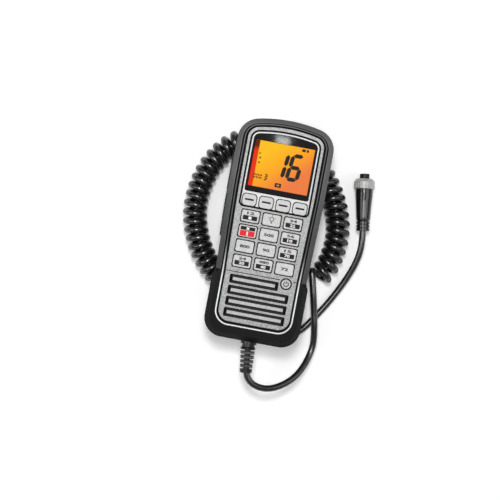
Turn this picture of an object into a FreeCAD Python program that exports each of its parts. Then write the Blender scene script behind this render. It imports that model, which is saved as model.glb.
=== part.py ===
import FreeCAD, Part
import math
import os

from FreeCAD import Placement, Rotation, Vector

doc = FreeCAD.newDocument("marine_handset")

# The handset lies face up: +Y to the screen end, +X to its right, +Z up from the surface it rests on.
SIZES = (
    # case, seen from the front
    ("case_length", 162.8),
    ("case_width", 70.4),
    ("waist_draw", 3.6),
    ("taper_start", 28.0),
    ("waist_from_end", 48.4),
    ("bumper_step", 4.0),
    ("arch_radius", 106.0),
    ("top_corner", 15.6),
    ("bottom_corner", 14.0),
    # heights above the surface
    ("face_height", 42.0),
    ("band_drop", 0.6),
    ("case_depth", 21.0),
    ("case_split", 6.0),
    ("wall", 2.4),
    ("slope_run", 3.6),
    ("slope_drop", 5.4),
    ("edge_round", 1.2),
    ("back_slope", 3.0),
    ("deck_thickness", 2.2),
    ("plate_thickness", 2.2),
    # rubber bumper round the lower end
    ("bumper_wall", 2.6),
    ("bumper_flange", 2.3),
    # rings round the face, measured inwards from the case outline
    ("well_inset", 3.8),
    ("trim_inset", 4.9),
    ("trim_width", 1.2),
    ("trim_rise", 0.3),
    ("trim_inset_top", 4.4),
    ("trim_inset_bottom", 9.3),
    ("plate_inset", 7.3),
    ("plate_inset_top", 6.5),
    ("plate_inset_bottom", 12.2),
    ("trim_corner", 10.8),
    # screen and its surround
    ("surround_margin", 20.9),
    ("surround_from_top", 10.1),
    ("surround_bottom", 15.3),
    ("surround_gap", 1.1),
    ("surround_corner", 2.6),
    ("surround_top_corner", 5.5),
    ("surround_rise", 0.2),
    ("surround_rim", 1.3),
    ("window_bottom", 25.8),
    ("window_thickness", 1.7),
    ("lcd_margin", 5.9),
    ("lcd_length", 33.8),
    ("lcd_place", 46.8),
    ("lcd_thickness", 1.5),
    # keys
    ("keypad_margin", 23.6),
    ("key_pitch_along", 11.0),
    ("key_top_row", 8.0),
    ("key_between", 2.8),
    ("key_length", 8.4),
    ("key_corner", 1.3),
    ("key_gap", 0.7),
    ("key_flange", 0.4),
    ("key_flange_thickness", 0.9),
    ("key_rise", 0.8),
    ("key_travel", 1.0),
    ("soft_margin", 21.2),
    ("soft_place", 19.6),
    ("soft_between", 2.3),
    ("soft_length", 8.3),
    ("soft_corner", 2.3),
    ("soft_gap", 0.55),
    ("soft_rise", 0.9),
    ("power_from_side", 16.6),
    ("power_from_waist", 2.3),
    ("power_radius", 3.4),
    ("power_gap", 0.9),
    ("play", 0.1),
    # membrane, board and what stands on it
    ("membrane_thickness", 1.4),
    ("pip_radius", 2.0),
    ("pip_height", 1.1),
    ("board_thickness", 1.6),
    ("board_margin", 18.4),
    ("board_top", 61.0),
    ("board_bottom", -29.5),
    ("post_radius", 2.6),
    ("post_from_side", 14.2),
    ("post_top_along", 52.0),
    ("post_low_along", -16.0),
    # speaker grille and speaker
    ("grille_from_waist", 5.2),
    ("grille_pitch", 8.1),
    ("grille_slot", 6.6),
    ("grille_margin", 26.0),
    ("grille_bar", 2.7),
    ("grille_bar_drop", 0.2),
    ("grille_frame_thickness", 1.2),
    ("short_bar_cut", 8.8),
    ("speaker_from_waist", 19.0),
    ("speaker_radius", 18.0),
    ("speaker_depth", 8.6),
    ("magnet_radius", 10.0),
    ("magnet_depth", 5.0),
    ("microphone_radius", 3.0),
    ("microphone_depth", 3.2),
    # keys in the left side
    ("talk_place", 6.5),
    ("talk_length", 31.6),
    ("side_place", 37.7),
    ("side_length", 26.6),
    ("side_key_height", 5.6),
    ("side_key_rise", 4.7),
    ("side_key_stand", 1.1),
    ("side_key_travel", 1.2),
    ("side_flange", 1.0),
    ("side_gap", 0.35),
    ("switch_length", 6.0),
    ("switch_width", 5.0),
    ("switch_height", 3.2),
    ("switch_stem", 1.2),
    # hump on the back that the handset rests on
    ("keel_along", -21.0),
    ("keel_base_width", 30.0),
    ("keel_base_length", 66.0),
    ("keel_root_width", 42.0),
    ("keel_root_length", 80.0),
    ("keel_corner", 9.0),
    ("keel_wall", 2.4),
    # seal, screws and hanger stud
    ("seal_width", 0.9),
    ("seal_depth", 0.8),
    ("boss_radius", 3.3),
    ("screw_radius", 1.3),
    ("screw_hole", 1.4),
    ("screw_length", 14.0),
    ("screw_head_radius", 2.7),
    ("screw_head", 1.8),
    ("screw_top_from_side", 9.7),
    ("screw_top_from_end", 14.4),
    ("screw_low_from_side", 12.7),
    ("screw_low_from_end", 9.9),
    ("stud_along", 32.0),
    ("stud_head_radius", 8.0),
    ("stud_head", 3.0),
    ("stud_neck_radius", 4.5),
    ("stud_neck", 5.5),
    # strain relief at the lower end
    ("cord_diameter", 4.9),
    ("boot_rise", 2.5),
    ("boot_collar_radius", 5.9),
    ("boot_collar", 1.8),
    ("boot_neck_radius", 5.0),
    ("boot_root_radius", 5.4),
    ("boot_tip_radius", 4.5),
    ("boot_length", 21.2),
    ("boot_lean", 5.0),
    ("boot_slot", 1.1),
    ("boot_spine", 4.2),
    ("boot_slots", 5),
    # plug
    ("plug_level", 7.9),
    ("plug_heading", 98.5),
    ("plug_root_radius", 5.0),
    ("plug_front_radius", 6.5),
    ("plug_length", 31.2),
    ("plug_sleeve_radius", 5.6),
    ("ring_radius", 7.7),
    ("ring_length", 7.7),
    ("ring_clearance", 0.05),
    ("ring_flutes", 28),
    ("nose_radius", 3.6),
    ("nose_length", 3.7),
    ("nose_wall", 0.7),
    ("pin_radius", 0.5),
    ("pin_circle", 1.9),
    ("pin_count", 7),
    # curls of the cord
    ("coil_radius", 6.75),
    ("coil_level", 9.3),
    ("coil_gap", 0.5),
    ("coil_pitch", 5.9),
    ("coil_fan", 1.3),
    ("coil_fan_reach", 9.0),
)

# Sizes that follow from the ones above.
DERIVED = (
    ("back_height", "face_height - case_depth"),
    ("parting_height", "back_height + case_split"),
    ("band_top", "face_height - band_drop"),
    ("trim_crest", "face_height + trim_rise"),
    ("surround_height", "face_height + surround_rise"),
    ("key_top", "face_height + key_rise"),
    ("soft_top", "face_height + soft_rise"),
    ("grille_bar_top", "face_height - grille_bar_drop"),
    ("side_key_level", "parting_height + side_key_rise"),
    ("boot_level", "parting_height + boot_rise"),
    ("waist_width", "case_width - waist_draw"),
    ("waist_place", "waist_from_end - case_length / 2"),
    ("surround_width", "case_width - surround_margin"),
    ("surround_top", "case_length / 2 - surround_from_top"),
    ("lcd_width", "surround_width - lcd_margin"),
    ("key_pitch_across", "(case_width - keypad_margin) / 3"),
    ("key_width", "key_pitch_across - key_between"),
    ("soft_pitch", "(case_width - soft_margin) / 4"),
    ("soft_width", "soft_pitch - soft_between"),
    ("power_across", "case_width / 2 - power_from_side"),
    ("power_along", "waist_place - power_from_waist"),
    ("board_width", "case_width - board_margin"),
    ("post_across", "case_width / 2 - post_from_side"),
    ("grille_top_along", "waist_place - grille_from_waist"),
    ("grille_width", "case_width - grille_margin"),
    ("speaker_along", "waist_place - speaker_from_waist"),
    ("screw_top_across", "case_width / 2 - screw_top_from_side"),
    ("screw_top_along", "case_length / 2 - screw_top_from_end"),
    ("screw_low_across", "case_width / 2 - screw_low_from_side"),
    ("screw_low_along", "screw_low_from_end - case_length / 2"),
    ("deck_top", "face_height - plate_thickness"),
    ("deck_bottom", "deck_top - deck_thickness"),
    ("membrane_bottom", "deck_bottom - membrane_thickness"),
    ("board_level", "membrane_bottom - pip_height"),
    ("board_bottom_level", "board_level - board_thickness"),
    ("land_height", "band_top - bumper_flange"),
    ("slope_bottom", "band_top - slope_drop"),
    ("floor_level", "back_height + wall"),
    ("key_bottom", "deck_bottom + key_travel + 0.05"),
    ("bumper_bottom", "back_height + back_slope"),
)

sheet = doc.addObject("Spreadsheet::Sheet", "sizes")
for row, (alias, number) in enumerate(SIZES + DERIVED, 1):
    sheet.set("A%d" % row, alias)
    sheet.setAlias("B%d" % row, alias)
    text = str(number)
    if isinstance(number, str):
        text = "=" + number
    sheet.set("B%d" % row, text)
doc.recompute()


def size(alias):
    return float(sheet.get(alias))


parts = []

# Half outline values of the case, used by every ring and shell that follows it.
case_half = size("case_width") / 2
waist_half = size("waist_width") / 2
case_top = size("case_length") / 2
case_bottom = -case_top
waist_y = size("waist_place")
taper_y = size("taper_start")
core_half = case_half - size("bumper_wall")
core_bottom = case_bottom + size("bumper_wall")
core_corner = size("bottom_corner") - size("bumper_wall")


def arc(x, y, radius, start, end):
    """Arc in the sketch plane, angles in degrees, counterclockwise."""
    circle = Part.Circle(Vector(x, y, 0), Vector(0, 0, 1), radius)
    return Part.ArcOfCircle(circle, math.radians(start), math.radians(end))


def chain(items):
    """Closed counterclockwise outline: arcs and plain points, joined by straight lines."""
    edges = []
    ends = []
    for item in items:
        if isinstance(item, Vector):
            ends.append((item, item))
        else:
            ends.append((item.StartPoint, item.EndPoint))
            edges.append(item)
    for here, after in zip(ends, ends[1:] + ends[:1]):
        if here[1].distanceToPoint(after[0]) > 1e-6:
            edges.append(Part.LineSegment(here[1], after[0]))
    return edges


def rounded_rectangle(x, y, width, length, corner):
    right, top = width / 2 - corner, length / 2 - corner
    return chain([
        arc(x + right, y - top, corner, 270, 360),
        arc(x + right, y + top, corner, 0, 90),
        arc(x - right, y + top, corner, 90, 180),
        arc(x - right, y - top, corner, 180, 270),
    ])


def rectangle(left, bottom, right, top):
    return chain([Vector(left, bottom, 0), Vector(right, bottom, 0), Vector(right, top, 0), Vector(left, top, 0)])


def circle(x, y, radius):
    return [Part.Circle(Vector(x, y, 0), Vector(0, 0, 1), radius)]


def arched_top(half, top, radius, corner):
    """Right corner, arch and left corner of an outline whose top is a shallow arch."""
    arch_y = top - radius
    corner_x = half - corner
    corner_y = arch_y + math.sqrt((radius - corner) ** 2 - corner_x ** 2)
    lean = math.degrees(math.atan2(corner_y - arch_y, corner_x))
    return [
        arc(corner_x, corner_y, corner, 0, lean),
        arc(0, arch_y, radius, lean, 180 - lean),
        arc(-corner_x, corner_y, corner, 180 - lean, 180),
    ]


def face_outline(side, top, bottom, corner):
    """Outline of a ring or plate on the face, drawn in from the case by these amounts."""
    low = waist_half - side
    low_y = case_bottom + bottom
    return chain([
        arc(low - corner, low_y + corner, corner, 270, 360),
        Vector(low, waist_y, 0),
        Vector(case_half - side, taper_y, 0),
        *arched_top(case_half - side, case_top - top, size("arch_radius") - top, size("top_corner") - side),
        Vector(side - case_half, taper_y, 0),
        Vector(-low, waist_y, 0),
        arc(corner - low, low_y + corner, corner, 180, 270),
    ])


def shell_outline(inset):
    """Outline of both shells: full size above the waist, stepped in under the bumper below it."""
    low = core_half - inset
    low_y = core_bottom + inset
    corner = core_corner - inset
    waist = waist_half - inset
    step_y = waist_y + inset
    return chain([
        arc(low - corner, low_y + corner, corner, 270, 360),
        Vector(low, step_y, 0),
        Vector(waist, step_y, 0),
        Vector(case_half - inset, taper_y, 0),
        *arched_top(case_half - inset, case_top - inset, size("arch_radius") - inset, size("top_corner") - inset),
        Vector(inset - case_half, taper_y, 0),
        Vector(-waist, step_y, 0),
        Vector(-low, step_y, 0),
        arc(corner - low, low_y + corner, corner, 180, 270),
    ])


def upper_end(inset):
    """Outline of the case above the waist, closed by a straight line across it."""
    half = case_half - inset
    return chain([
        Vector(waist_half - inset, waist_y, 0),
        Vector(half, taper_y, 0),
        *arched_top(half, case_top - inset, size("arch_radius") - inset, size("top_corner") - inset),
        Vector(-half, taper_y, 0),
        Vector(inset - waist_half, waist_y, 0),
    ])


def bumper_outline(inset):
    """Outline of the bumper, which steps out from the waist and runs round the lower end."""
    half = case_half - inset
    corner = size("bottom_corner") - inset
    step_y = waist_y - size("bumper_step")
    return chain([
        arc(half - corner, case_bottom + inset + corner, corner, 270, 360),
        Vector(half, step_y, 0),
        Vector(waist_half - inset, waist_y, 0),
        Vector(inset - waist_half, waist_y, 0),
        Vector(-half, step_y, 0),
        arc(corner - half, case_bottom + inset + corner, corner, 180, 270),
    ])


def lower_end(half, bottom, corner, top):
    """Lower end of an outline: straight sides up to a straight top edge."""
    return chain([
        arc(half - corner, bottom + corner, corner, 270, 360),
        Vector(half, top, 0),
        Vector(-half, top, 0),
        arc(corner - half, bottom + corner, corner, 180, 270),
    ])


def new_body(label):
    body = doc.addObject("PartDesign::Body", label)
    parts.append(body)
    return body


def add_sketch(body, edges, level, role="XY_Plane"):
    """Sketch on one of the body's own planes, moved along that plane's normal to a level."""
    plane = next(feature for feature in body.Origin.OriginFeatures if feature.Role == role)
    sketch = body.newObject("Sketcher::SketchObject", body.Label + "_sketch")
    sketch.AttachmentSupport = [(plane, "")]
    sketch.MapMode = "FlatFace"
    sketch.addGeometry(edges, False)
    sketch.setExpression("AttachmentOffset.Base.z", level)
    return sketch


def settle(feature):
    """Recompute, and stop if the feature could not be made."""
    doc.recompute()
    if "Invalid" in feature.State or feature.Shape.isNull():
        raise ValueError("%s could not be made" % feature.Label)
    return feature


def pad(body, edges, level, length, role="XY_Plane"):
    feature = body.newObject("PartDesign::Pad", body.Label + "_pad")
    feature.Profile = add_sketch(body, edges, level, role)
    feature.setExpression("Length", length)
    return settle(feature)


def pocket(body, edges, level, depth, role="XY_Plane", forward=False):
    """Pocket against the plane's normal, or along it when forward; it has to remove material."""
    before = body.Shape.Volume
    feature = body.newObject("PartDesign::Pocket", body.Label + "_pocket")
    feature.Profile = add_sketch(body, edges, level, role)
    feature.setExpression("Length", depth)
    feature.Reversed = forward
    settle(feature)
    if body.Shape.Volume > before - 1e-6:
        raise ValueError("a pocket of %s removes nothing" % body.Label)
    return feature


def loft(body, kind, first, second):
    feature = body.newObject("PartDesign::" + kind, body.Label + "_loft")
    feature.Profile = first
    feature.Sections = [second]
    feature.Ruled = True
    return settle(feature)


def sloped_rim(body, outline):
    """Upper part of a shell whose outer side slopes inwards up to the band's top."""
    return loft(body, "AdditiveLoft", add_sketch(body, outline(0), "sizes.slope_bottom"),
                add_sketch(body, outline(size("slope_run")), "sizes.band_top"))


def edges_where(shape, test):
    return ["Edge%d" % number for number, edge in enumerate(shape.Edges, 1) if test(edge.BoundBox)]


def dress(body, kind, names, **values):
    """Fillet or chamfer on edges of the body's last feature."""
    base = body.Tip
    feature = body.newObject("PartDesign::" + kind, body.Label + "_" + kind.lower())
    feature.Base = (base, names)
    for name, expression in values.items():
        feature.setExpression(name, expression)
    body.Tip = feature
    return settle(feature)


def flat_at(level, tolerance=0.01):
    return lambda box: abs(box.ZMin - level) < tolerance and abs(box.ZMax - level) < tolerance


def revolve(body, points, role="XZ_Plane"):
    """Solid of revolution about the local Z axis from a profile of radius and height."""
    feature = body.newObject("PartDesign::Revolution", body.Label + "_revolution")
    sketch = add_sketch(body, chain([Vector(radius, height, 0) for radius, height in points]), "0", role)
    feature.Profile = sketch
    feature.ReferenceAxis = (sketch, ["V_Axis"])
    feature.Angle = 360
    return settle(feature)


def rounded_block(label, x, y, width, length, corner, level, height):
    body = new_body(label)
    pad(body, rounded_rectangle(x, y, width, length, corner), level, height)
    return body


def cylinder(label, x, y, level, radius, height):
    """Upright cylinder whose size and level follow the sheet."""
    solid = doc.addObject("Part::Cylinder", label)
    solid.setExpression("Radius", radius)
    solid.setExpression("Height", height)
    solid.Placement = Placement(Vector(x, y, 0), Rotation())
    solid.setExpression("Placement.Base.z", level)
    return solid


def group(label, solids):
    compound = doc.addObject("Part::Compound", label)
    compound.Links = solids
    parts.append(compound)
    return compound


# Places of the screws and of the board's posts.
SCREWS = [
    (side * size(across), size(along))
    for across, along in (("screw_top_across", "screw_top_along"), ("screw_low_across", "screw_low_along"))
    for side in (-1, 1)
]
POSTS = [
    (side * size("post_across"), size(along))
    for along in ("post_top_along", "post_low_along")
    for side in (-1, 1)
]

# Places of the keys, by name.
COLUMNS = (("left", -1), ("middle", 0), ("right", 1))
KEYS = {
    "key_row%d_%s" % (row + 1, column): (
        across * size("key_pitch_across"),
        size("key_top_row") - row * size("key_pitch_along"),
    )
    for row in range(4)
    for column, across in COLUMNS
}
SOFT_KEYS = {
    "soft_key_%d" % (number + 1): ((number - 1.5) * size("soft_pitch"), size("soft_place"))
    for number in range(4)
}
POWER = (size("power_across"), size("power_along"))
trim_half = waist_half - size("trim_inset")
trim_bottom = case_bottom + size("trim_inset_bottom")


def surround_outline(grow):
    """Outline of the screen surround, grown outwards."""
    half = size("surround_width") / 2 + grow
    corner = size("surround_corner") + grow
    bottom = size("surround_bottom") - grow
    top = size("surround_top") + grow
    return chain([
        arc(half - corner, bottom + corner, corner, 270, 360),
        *arched_top(half, top, size("arch_radius") + grow, size("surround_top_corner") + grow),
        arc(corner - half, bottom + corner, corner, 180, 270),
    ])


def window_outline(shrink):
    """Outline of the display window, drawn in by a small clearance."""
    rim = size("surround_rim") + shrink
    half = size("surround_width") / 2 - rim
    corner = size("surround_corner") - 1.0
    bottom = size("window_bottom") + shrink
    return chain([
        arc(half - corner, bottom + corner, corner, 270, 360),
        *arched_top(half, size("surround_top") - rim, size("arch_radius") - rim, size("surround_top_corner") - rim),
        arc(corner - half, bottom + corner, corner, 180, 270),
    ])


def slot_places():
    """Height along the handset, left end and right end of each grille slot."""
    half = size("grille_width") / 2
    for number in range(4):
        right = half
        if number == 0:
            right -= size("short_bar_cut")
        yield size("grille_top_along") - number * size("grille_pitch"), -half, right


def grille_opening():
    """Opening in the deck under all the slots."""
    top = size("grille_top_along") + size("grille_slot") / 2
    bottom = top - 3 * size("grille_pitch") - size("grille_slot")
    half = size("grille_width") / 2 + size("grille_bar")
    return -half, bottom, half, top


def keypad_opening():
    """Opening in the deck under the twelve keys: width, length and centre height."""
    reach = size("key_gap") + size("key_flange") + 0.2
    width = 2 * size("key_pitch_across") + size("key_width") + 2 * reach
    length = 3 * size("key_pitch_along") + size("key_length") + 2 * reach
    return width, length, size("key_top_row") - 1.5 * size("key_pitch_along")


def soft_opening():
    """Opening in the deck under the four soft keys: width and length."""
    reach = size("soft_gap") + size("key_flange") + 0.15
    return 3 * size("soft_pitch") + size("soft_width") + 2 * reach, size("soft_length") + 2 * reach


# The talk key's wall is slanted by the case's taper.
TAPER = math.degrees(math.atan2(case_half - waist_half, taper_y - waist_y))


def wall_place(along):
    """Left wall's outside at a height along the handset, and its turn about Z."""
    if along > taper_y:
        return Vector(-case_half, along, 0), 0.0
    share = (taper_y - along) / (taper_y - waist_y)
    return Vector(-case_half + share * (case_half - waist_half), along, 0), TAPER


def turned_rectangle(origin, turn, left, bottom, right, top):
    """Rectangle in a frame that sits at origin and is turned about Z."""
    rotation = Rotation(Vector(0, 0, 1), turn)
    corners = ((left, bottom), (right, bottom), (right, top), (left, top))
    return chain([origin + rotation.multVec(Vector(x, y, 0)) for x, y in corners])


SIDE_KEYS = (
    ("talk_key", "talk_place", "talk_length"),
    ("side_key", "side_place", "side_length"),
)


def boot_hole(body):
    """Hole through the lower end wall for the strain relief's neck."""
    edges = circle(0, size("boot_level"), size("boot_neck_radius") + size("play"))
    pocket(body, edges, "sizes.case_length / 2 + 1", "sizes.bumper_wall + sizes.wall + 2", "XZ_Plane")


def make_front_shell():
    body = new_body("front_shell")
    pad(body, shell_outline(0), "sizes.parting_height", "sizes.slope_bottom - sizes.parting_height")
    sloped_rim(body, upper_end)
    core = lower_end(core_half, core_bottom, core_corner, waist_y)
    pad(body, core, "sizes.slope_bottom", "sizes.land_height - sizes.slope_bottom")
    seat = lower_end(trim_half, trim_bottom, size("trim_corner"), waist_y)
    pad(body, seat, "sizes.land_height", "sizes.deck_top - sizes.land_height")
    well = face_outline(size("well_inset"), size("well_inset"), size("trim_inset_bottom"), size("trim_corner"))
    pocket(body, well, "sizes.band_top", "sizes.band_top - sizes.deck_top")
    pocket(body, shell_outline(size("wall")), "sizes.parting_height",
           "sizes.deck_bottom - sizes.parting_height", forward=True)
    width, length, middle = keypad_opening()
    soft_width, soft_length = soft_opening()
    lcd = rounded_rectangle(0, size("lcd_place"), size("lcd_width") + 0.8, size("lcd_length") + 0.8, 0.6)
    openings = (
        lcd,
        rounded_rectangle(0, middle, width, length, 1.0),
        rounded_rectangle(0, size("soft_place"), soft_width, soft_length, 1.0),
        circle(*POWER, size("power_radius") + size("key_flange") + 0.3),
        rectangle(*grille_opening()),
    )
    for edges in openings:
        pocket(body, edges, "sizes.deck_top", "sizes.deck_thickness")
    low = size("talk_place") + size("talk_length") / 2 + size("side_gap") + 0.05
    high = size("side_place") - size("side_length") / 2 - size("side_gap") - 0.05
    land = rectangle(-case_half - 0.8, low, 1 - case_half, high)
    pad(body, land, "sizes.side_key_level - sizes.side_key_height / 2", "sizes.side_key_height")
    for label, place, length_name in SIDE_KEYS:
        origin, turn = wall_place(size(place))
        half = size(length_name) / 2 + size("side_gap")
        edges = turned_rectangle(origin, turn, -3, -half, size("wall") + 1, half)
        pocket(body, edges, "sizes.side_key_level + sizes.side_key_height / 2 + sizes.side_gap",
               "sizes.side_key_height + 2 * sizes.side_gap")
    boot_hole(body)
    bosses = [hole for x, y in SCREWS for hole in circle(x, y, size("boss_radius")) + circle(x, y, size("screw_hole"))]
    pad(body, bosses, "sizes.parting_height", "sizes.deck_bottom - sizes.parting_height")
    return body


def make_rear_shell():
    body = new_body("rear_shell")
    loft(body, "AdditiveLoft", add_sketch(body, shell_outline(size("back_slope")), "sizes.back_height"),
         add_sketch(body, shell_outline(0), "sizes.bumper_bottom"))
    pad(body, shell_outline(0), "sizes.bumper_bottom", "sizes.parting_height - sizes.bumper_bottom")
    along = size("keel_along")
    root = rounded_rectangle(0, along, size("keel_root_width"), size("keel_root_length"), size("keel_corner"))
    base = rounded_rectangle(0, along, size("keel_base_width"), size("keel_base_length"), size("keel_corner"))
    loft(body, "AdditiveLoft", add_sketch(body, root, "sizes.back_height"),
         add_sketch(body, base, "sizes.edge_round"))
    cut = size("edge_round")
    foot = rounded_rectangle(0, along, size("keel_base_width") - 2 * cut, size("keel_base_length") - 2 * cut,
                             size("keel_corner") - cut)
    loft(body, "AdditiveLoft", add_sketch(body, base, "sizes.edge_round"), add_sketch(body, foot, "0"))
    pocket(body, shell_outline(size("wall")), "sizes.parting_height", "sizes.parting_height - sizes.floor_level")
    thin = 2 * size("keel_wall")
    corner = size("keel_corner") - size("keel_wall")
    root = rounded_rectangle(0, along, size("keel_root_width") - thin, size("keel_root_length") - thin, corner)
    base = rounded_rectangle(0, along, size("keel_base_width") - thin, size("keel_base_length") - thin, corner)
    loft(body, "SubtractiveLoft", add_sketch(body, root, "sizes.floor_level"),
         add_sketch(body, base, "sizes.keel_wall"))
    posts = [edge for x, y in POSTS for edge in circle(x, y, size("post_radius"))]
    pad(body, posts, "sizes.floor_level", "sizes.board_bottom_level - sizes.floor_level")
    bosses = [edge for x, y in SCREWS for edge in circle(x, y, size("boss_radius"))]
    bosses += circle(0, size("stud_along"), size("stud_neck_radius"))
    pad(body, bosses, "sizes.floor_level", "sizes.parting_height - sizes.floor_level")
    holes = [edge for x, y in SCREWS for edge in circle(x, y, size("screw_hole"))]
    pocket(body, holes, "sizes.parting_height", "sizes.parting_height - sizes.back_height")
    heads = [edge for x, y in SCREWS for edge in circle(x, y, size("screw_head_radius") + size("play"))]
    pocket(body, heads, "sizes.back_height", "sizes.screw_head + 0.2", forward=True)
    pocket(body, circle(0, size("stud_along"), size("screw_hole")), "sizes.back_height", "5", forward=True)
    inset = size("wall") / 2 - size("seal_width") / 2 - 0.05
    ring = shell_outline(inset) + shell_outline(inset + size("seal_width") + 0.1)
    pocket(body, ring, "sizes.parting_height", "sizes.seal_depth")
    boot_hole(body)
    return body


def make_case_seal():
    body = new_body("case_seal")
    inset = size("wall") / 2 - size("seal_width") / 2
    ring = shell_outline(inset) + shell_outline(inset + size("seal_width"))
    pad(body, ring, "sizes.parting_height - sizes.seal_depth", "sizes.seal_depth")
    edges = circle(0, size("boot_level"), size("boot_neck_radius") + 2 * size("play"))
    pocket(body, edges, "sizes.case_length / 2 + 1", "sizes.bumper_wall + sizes.wall + 2", "XZ_Plane")
    return body


def make_lower_bumper():
    body = new_body("lower_bumper")
    pad(body, bumper_outline(0), "sizes.bumper_bottom", "sizes.slope_bottom - sizes.bumper_bottom")
    sloped_rim(body, bumper_outline)
    play = size("play")
    core = lower_end(core_half + play, core_bottom - play, core_corner + play, waist_y + 1)
    pocket(body, core, "sizes.bumper_bottom", "sizes.land_height + 0.05 - sizes.bumper_bottom", forward=True)
    opening = lower_end(trim_half + play, trim_bottom - play, size("trim_corner") + play, waist_y + 1)
    pocket(body, opening, "sizes.band_top", "sizes.bumper_flange + 0.2")
    boot_hole(body)
    return body


def make_face_plate():
    body = new_body("face_plate")
    corner = size("trim_corner") - (size("plate_inset") - size("trim_inset"))
    outline = face_outline(size("plate_inset"), size("plate_inset_top"), size("plate_inset_bottom"), corner)
    pad(body, outline, "sizes.deck_top", "sizes.plate_thickness")
    top = size("face_height")
    dress(body, "Chamfer", edges_where(body.Shape, flat_at(top)), Size="0.35")
    pocket(body, surround_outline(size("surround_gap")), "sizes.face_height", "sizes.plate_thickness")
    gap = 2 * size("key_gap")
    keys = []
    for x, y in KEYS.values():
        keys += rounded_rectangle(x, y, size("key_width") + gap, size("key_length") + gap, size("key_corner"))
    pocket(body, keys, "sizes.face_height", "sizes.plate_thickness")
    slots = []
    for y, left, right in slot_places():
        slots += rounded_rectangle((left + right) / 2, y, right - left, size("grille_slot"), 1.2)
    pocket(body, slots, "sizes.face_height", "sizes.plate_thickness")
    pocket(body, circle(*POWER, size("power_radius") + size("power_gap")), "sizes.face_height", "sizes.plate_thickness")
    line = rectangle(-26, waist_y - 0.25, 13, waist_y + 0.25)
    pocket(body, line, "sizes.face_height", "0.3")
    return body


def make_face_trim_ring():
    body = new_body("face_trim_ring")
    width = size("trim_width")
    outer = face_outline(size("trim_inset"), size("trim_inset_top"), size("trim_inset_bottom"), size("trim_corner"))
    inner = face_outline(size("trim_inset") + width, size("trim_inset_top") + width,
                         size("trim_inset_bottom") + width, size("trim_corner") - width)
    pad(body, outer + inner, "sizes.deck_top", "sizes.trim_crest - sizes.deck_top")
    dress(body, "Chamfer", edges_where(body.Shape, flat_at(size("trim_crest"))), Size="0.35")
    return body


def make_screen():
    surround = new_body("screen_surround")
    pad(surround, surround_outline(0), "sizes.deck_top", "sizes.surround_height - sizes.deck_top")
    dress(surround, "Chamfer", edges_where(surround.Shape, flat_at(size("surround_height"))),
          Size="0.4")
    pocket(surround, window_outline(0), "sizes.surround_height", "sizes.surround_height - sizes.deck_top")
    gap = 2 * size("soft_gap")
    keys = []
    for x, y in SOFT_KEYS.values():
        keys += rounded_rectangle(x, y, size("soft_width") + gap, size("soft_length") + gap, size("soft_corner") + 0.3)
    pocket(surround, keys, "sizes.surround_height", "sizes.surround_height - sizes.deck_top")
    window = new_body("display_window")
    pad(window, window_outline(0.08), "sizes.deck_top", "sizes.window_thickness")
    width, length = size("lcd_width"), size("lcd_length")
    place = size("lcd_place")
    rounded_block("lcd_panel", 0, place, width, length, 0.4, "sizes.deck_top - 0.1 - sizes.lcd_thickness",
                  "sizes.lcd_thickness")
    frame = new_body("lcd_backlight")
    pad(frame, rectangle(-width / 2 + 1, place - length / 2 + 1, width / 2 - 1, place + length / 2 - 1),
        "sizes.board_level", "sizes.deck_top - 0.1 - sizes.lcd_thickness - sizes.board_level")


def make_key(label, x, y, width, length, corner, top):
    """Key cap with a thin flange that the plate holds down, and softly rounded upper edges."""
    body = new_body(label)
    reach = 2 * (size("key_gap") if label.startswith("key") else size("soft_gap"))
    reach += 2 * size("key_flange")
    flange = rounded_rectangle(x, y, width + reach, length + reach, corner)
    pad(body, flange, "sizes.key_bottom", "sizes.key_flange_thickness")
    cap = rounded_rectangle(x, y, width, length, corner)
    pad(body, cap, "sizes.key_bottom + sizes.key_flange_thickness",
        "%s - sizes.key_bottom - sizes.key_flange_thickness" % top)
    level = size(top.split(".")[1])
    dress(body, "Fillet", edges_where(body.Shape, flat_at(level)), Radius="0.5")
    return body


def make_keypad():
    for label, (x, y) in KEYS.items():
        make_key(label, x, y, size("key_width"), size("key_length"), size("key_corner"), "sizes.key_top")
    for label, (x, y) in SOFT_KEYS.items():
        make_key(label, x, y, size("soft_width"), size("soft_length"), size("soft_corner"), "sizes.soft_top")
    power = new_body("power_button")
    x, y = POWER
    pad(power, circle(x, y, size("power_radius") + size("key_flange")), "sizes.key_bottom",
        "sizes.key_flange_thickness")
    pad(power, circle(x, y, size("power_radius")), "sizes.key_bottom + sizes.key_flange_thickness",
        "sizes.key_top - sizes.key_bottom - sizes.key_flange_thickness")
    dress(power, "Fillet", edges_where(power.Shape, flat_at(size("key_top"))), Radius="0.5")
    membrane = new_body("keypad_membrane")
    width, length, middle = keypad_opening()
    soft_width, soft_length = soft_opening()
    top = size("soft_place") + soft_length / 2 + 0.9
    bottom = POWER[1] - size("power_radius") - 0.8
    grille_top = grille_opening()[3]
    half = soft_width / 2 + 0.9
    right = POWER[0] - size("power_radius") - 0.8
    outline = chain([
        Vector(-half, grille_top + 1.5, 0),
        Vector(right, grille_top + 1.5, 0),
        Vector(right, bottom, 0),
        Vector(half, bottom, 0),
        Vector(half, top, 0),
        Vector(-half, top, 0),
    ])
    pad(membrane, outline, "sizes.membrane_bottom", "sizes.membrane_thickness")
    pips = []
    for x, y in [*KEYS.values(), *SOFT_KEYS.values()]:
        pips += circle(x, y, size("pip_radius"))
    pad(membrane, pips, "sizes.board_level", "sizes.pip_height")


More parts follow.
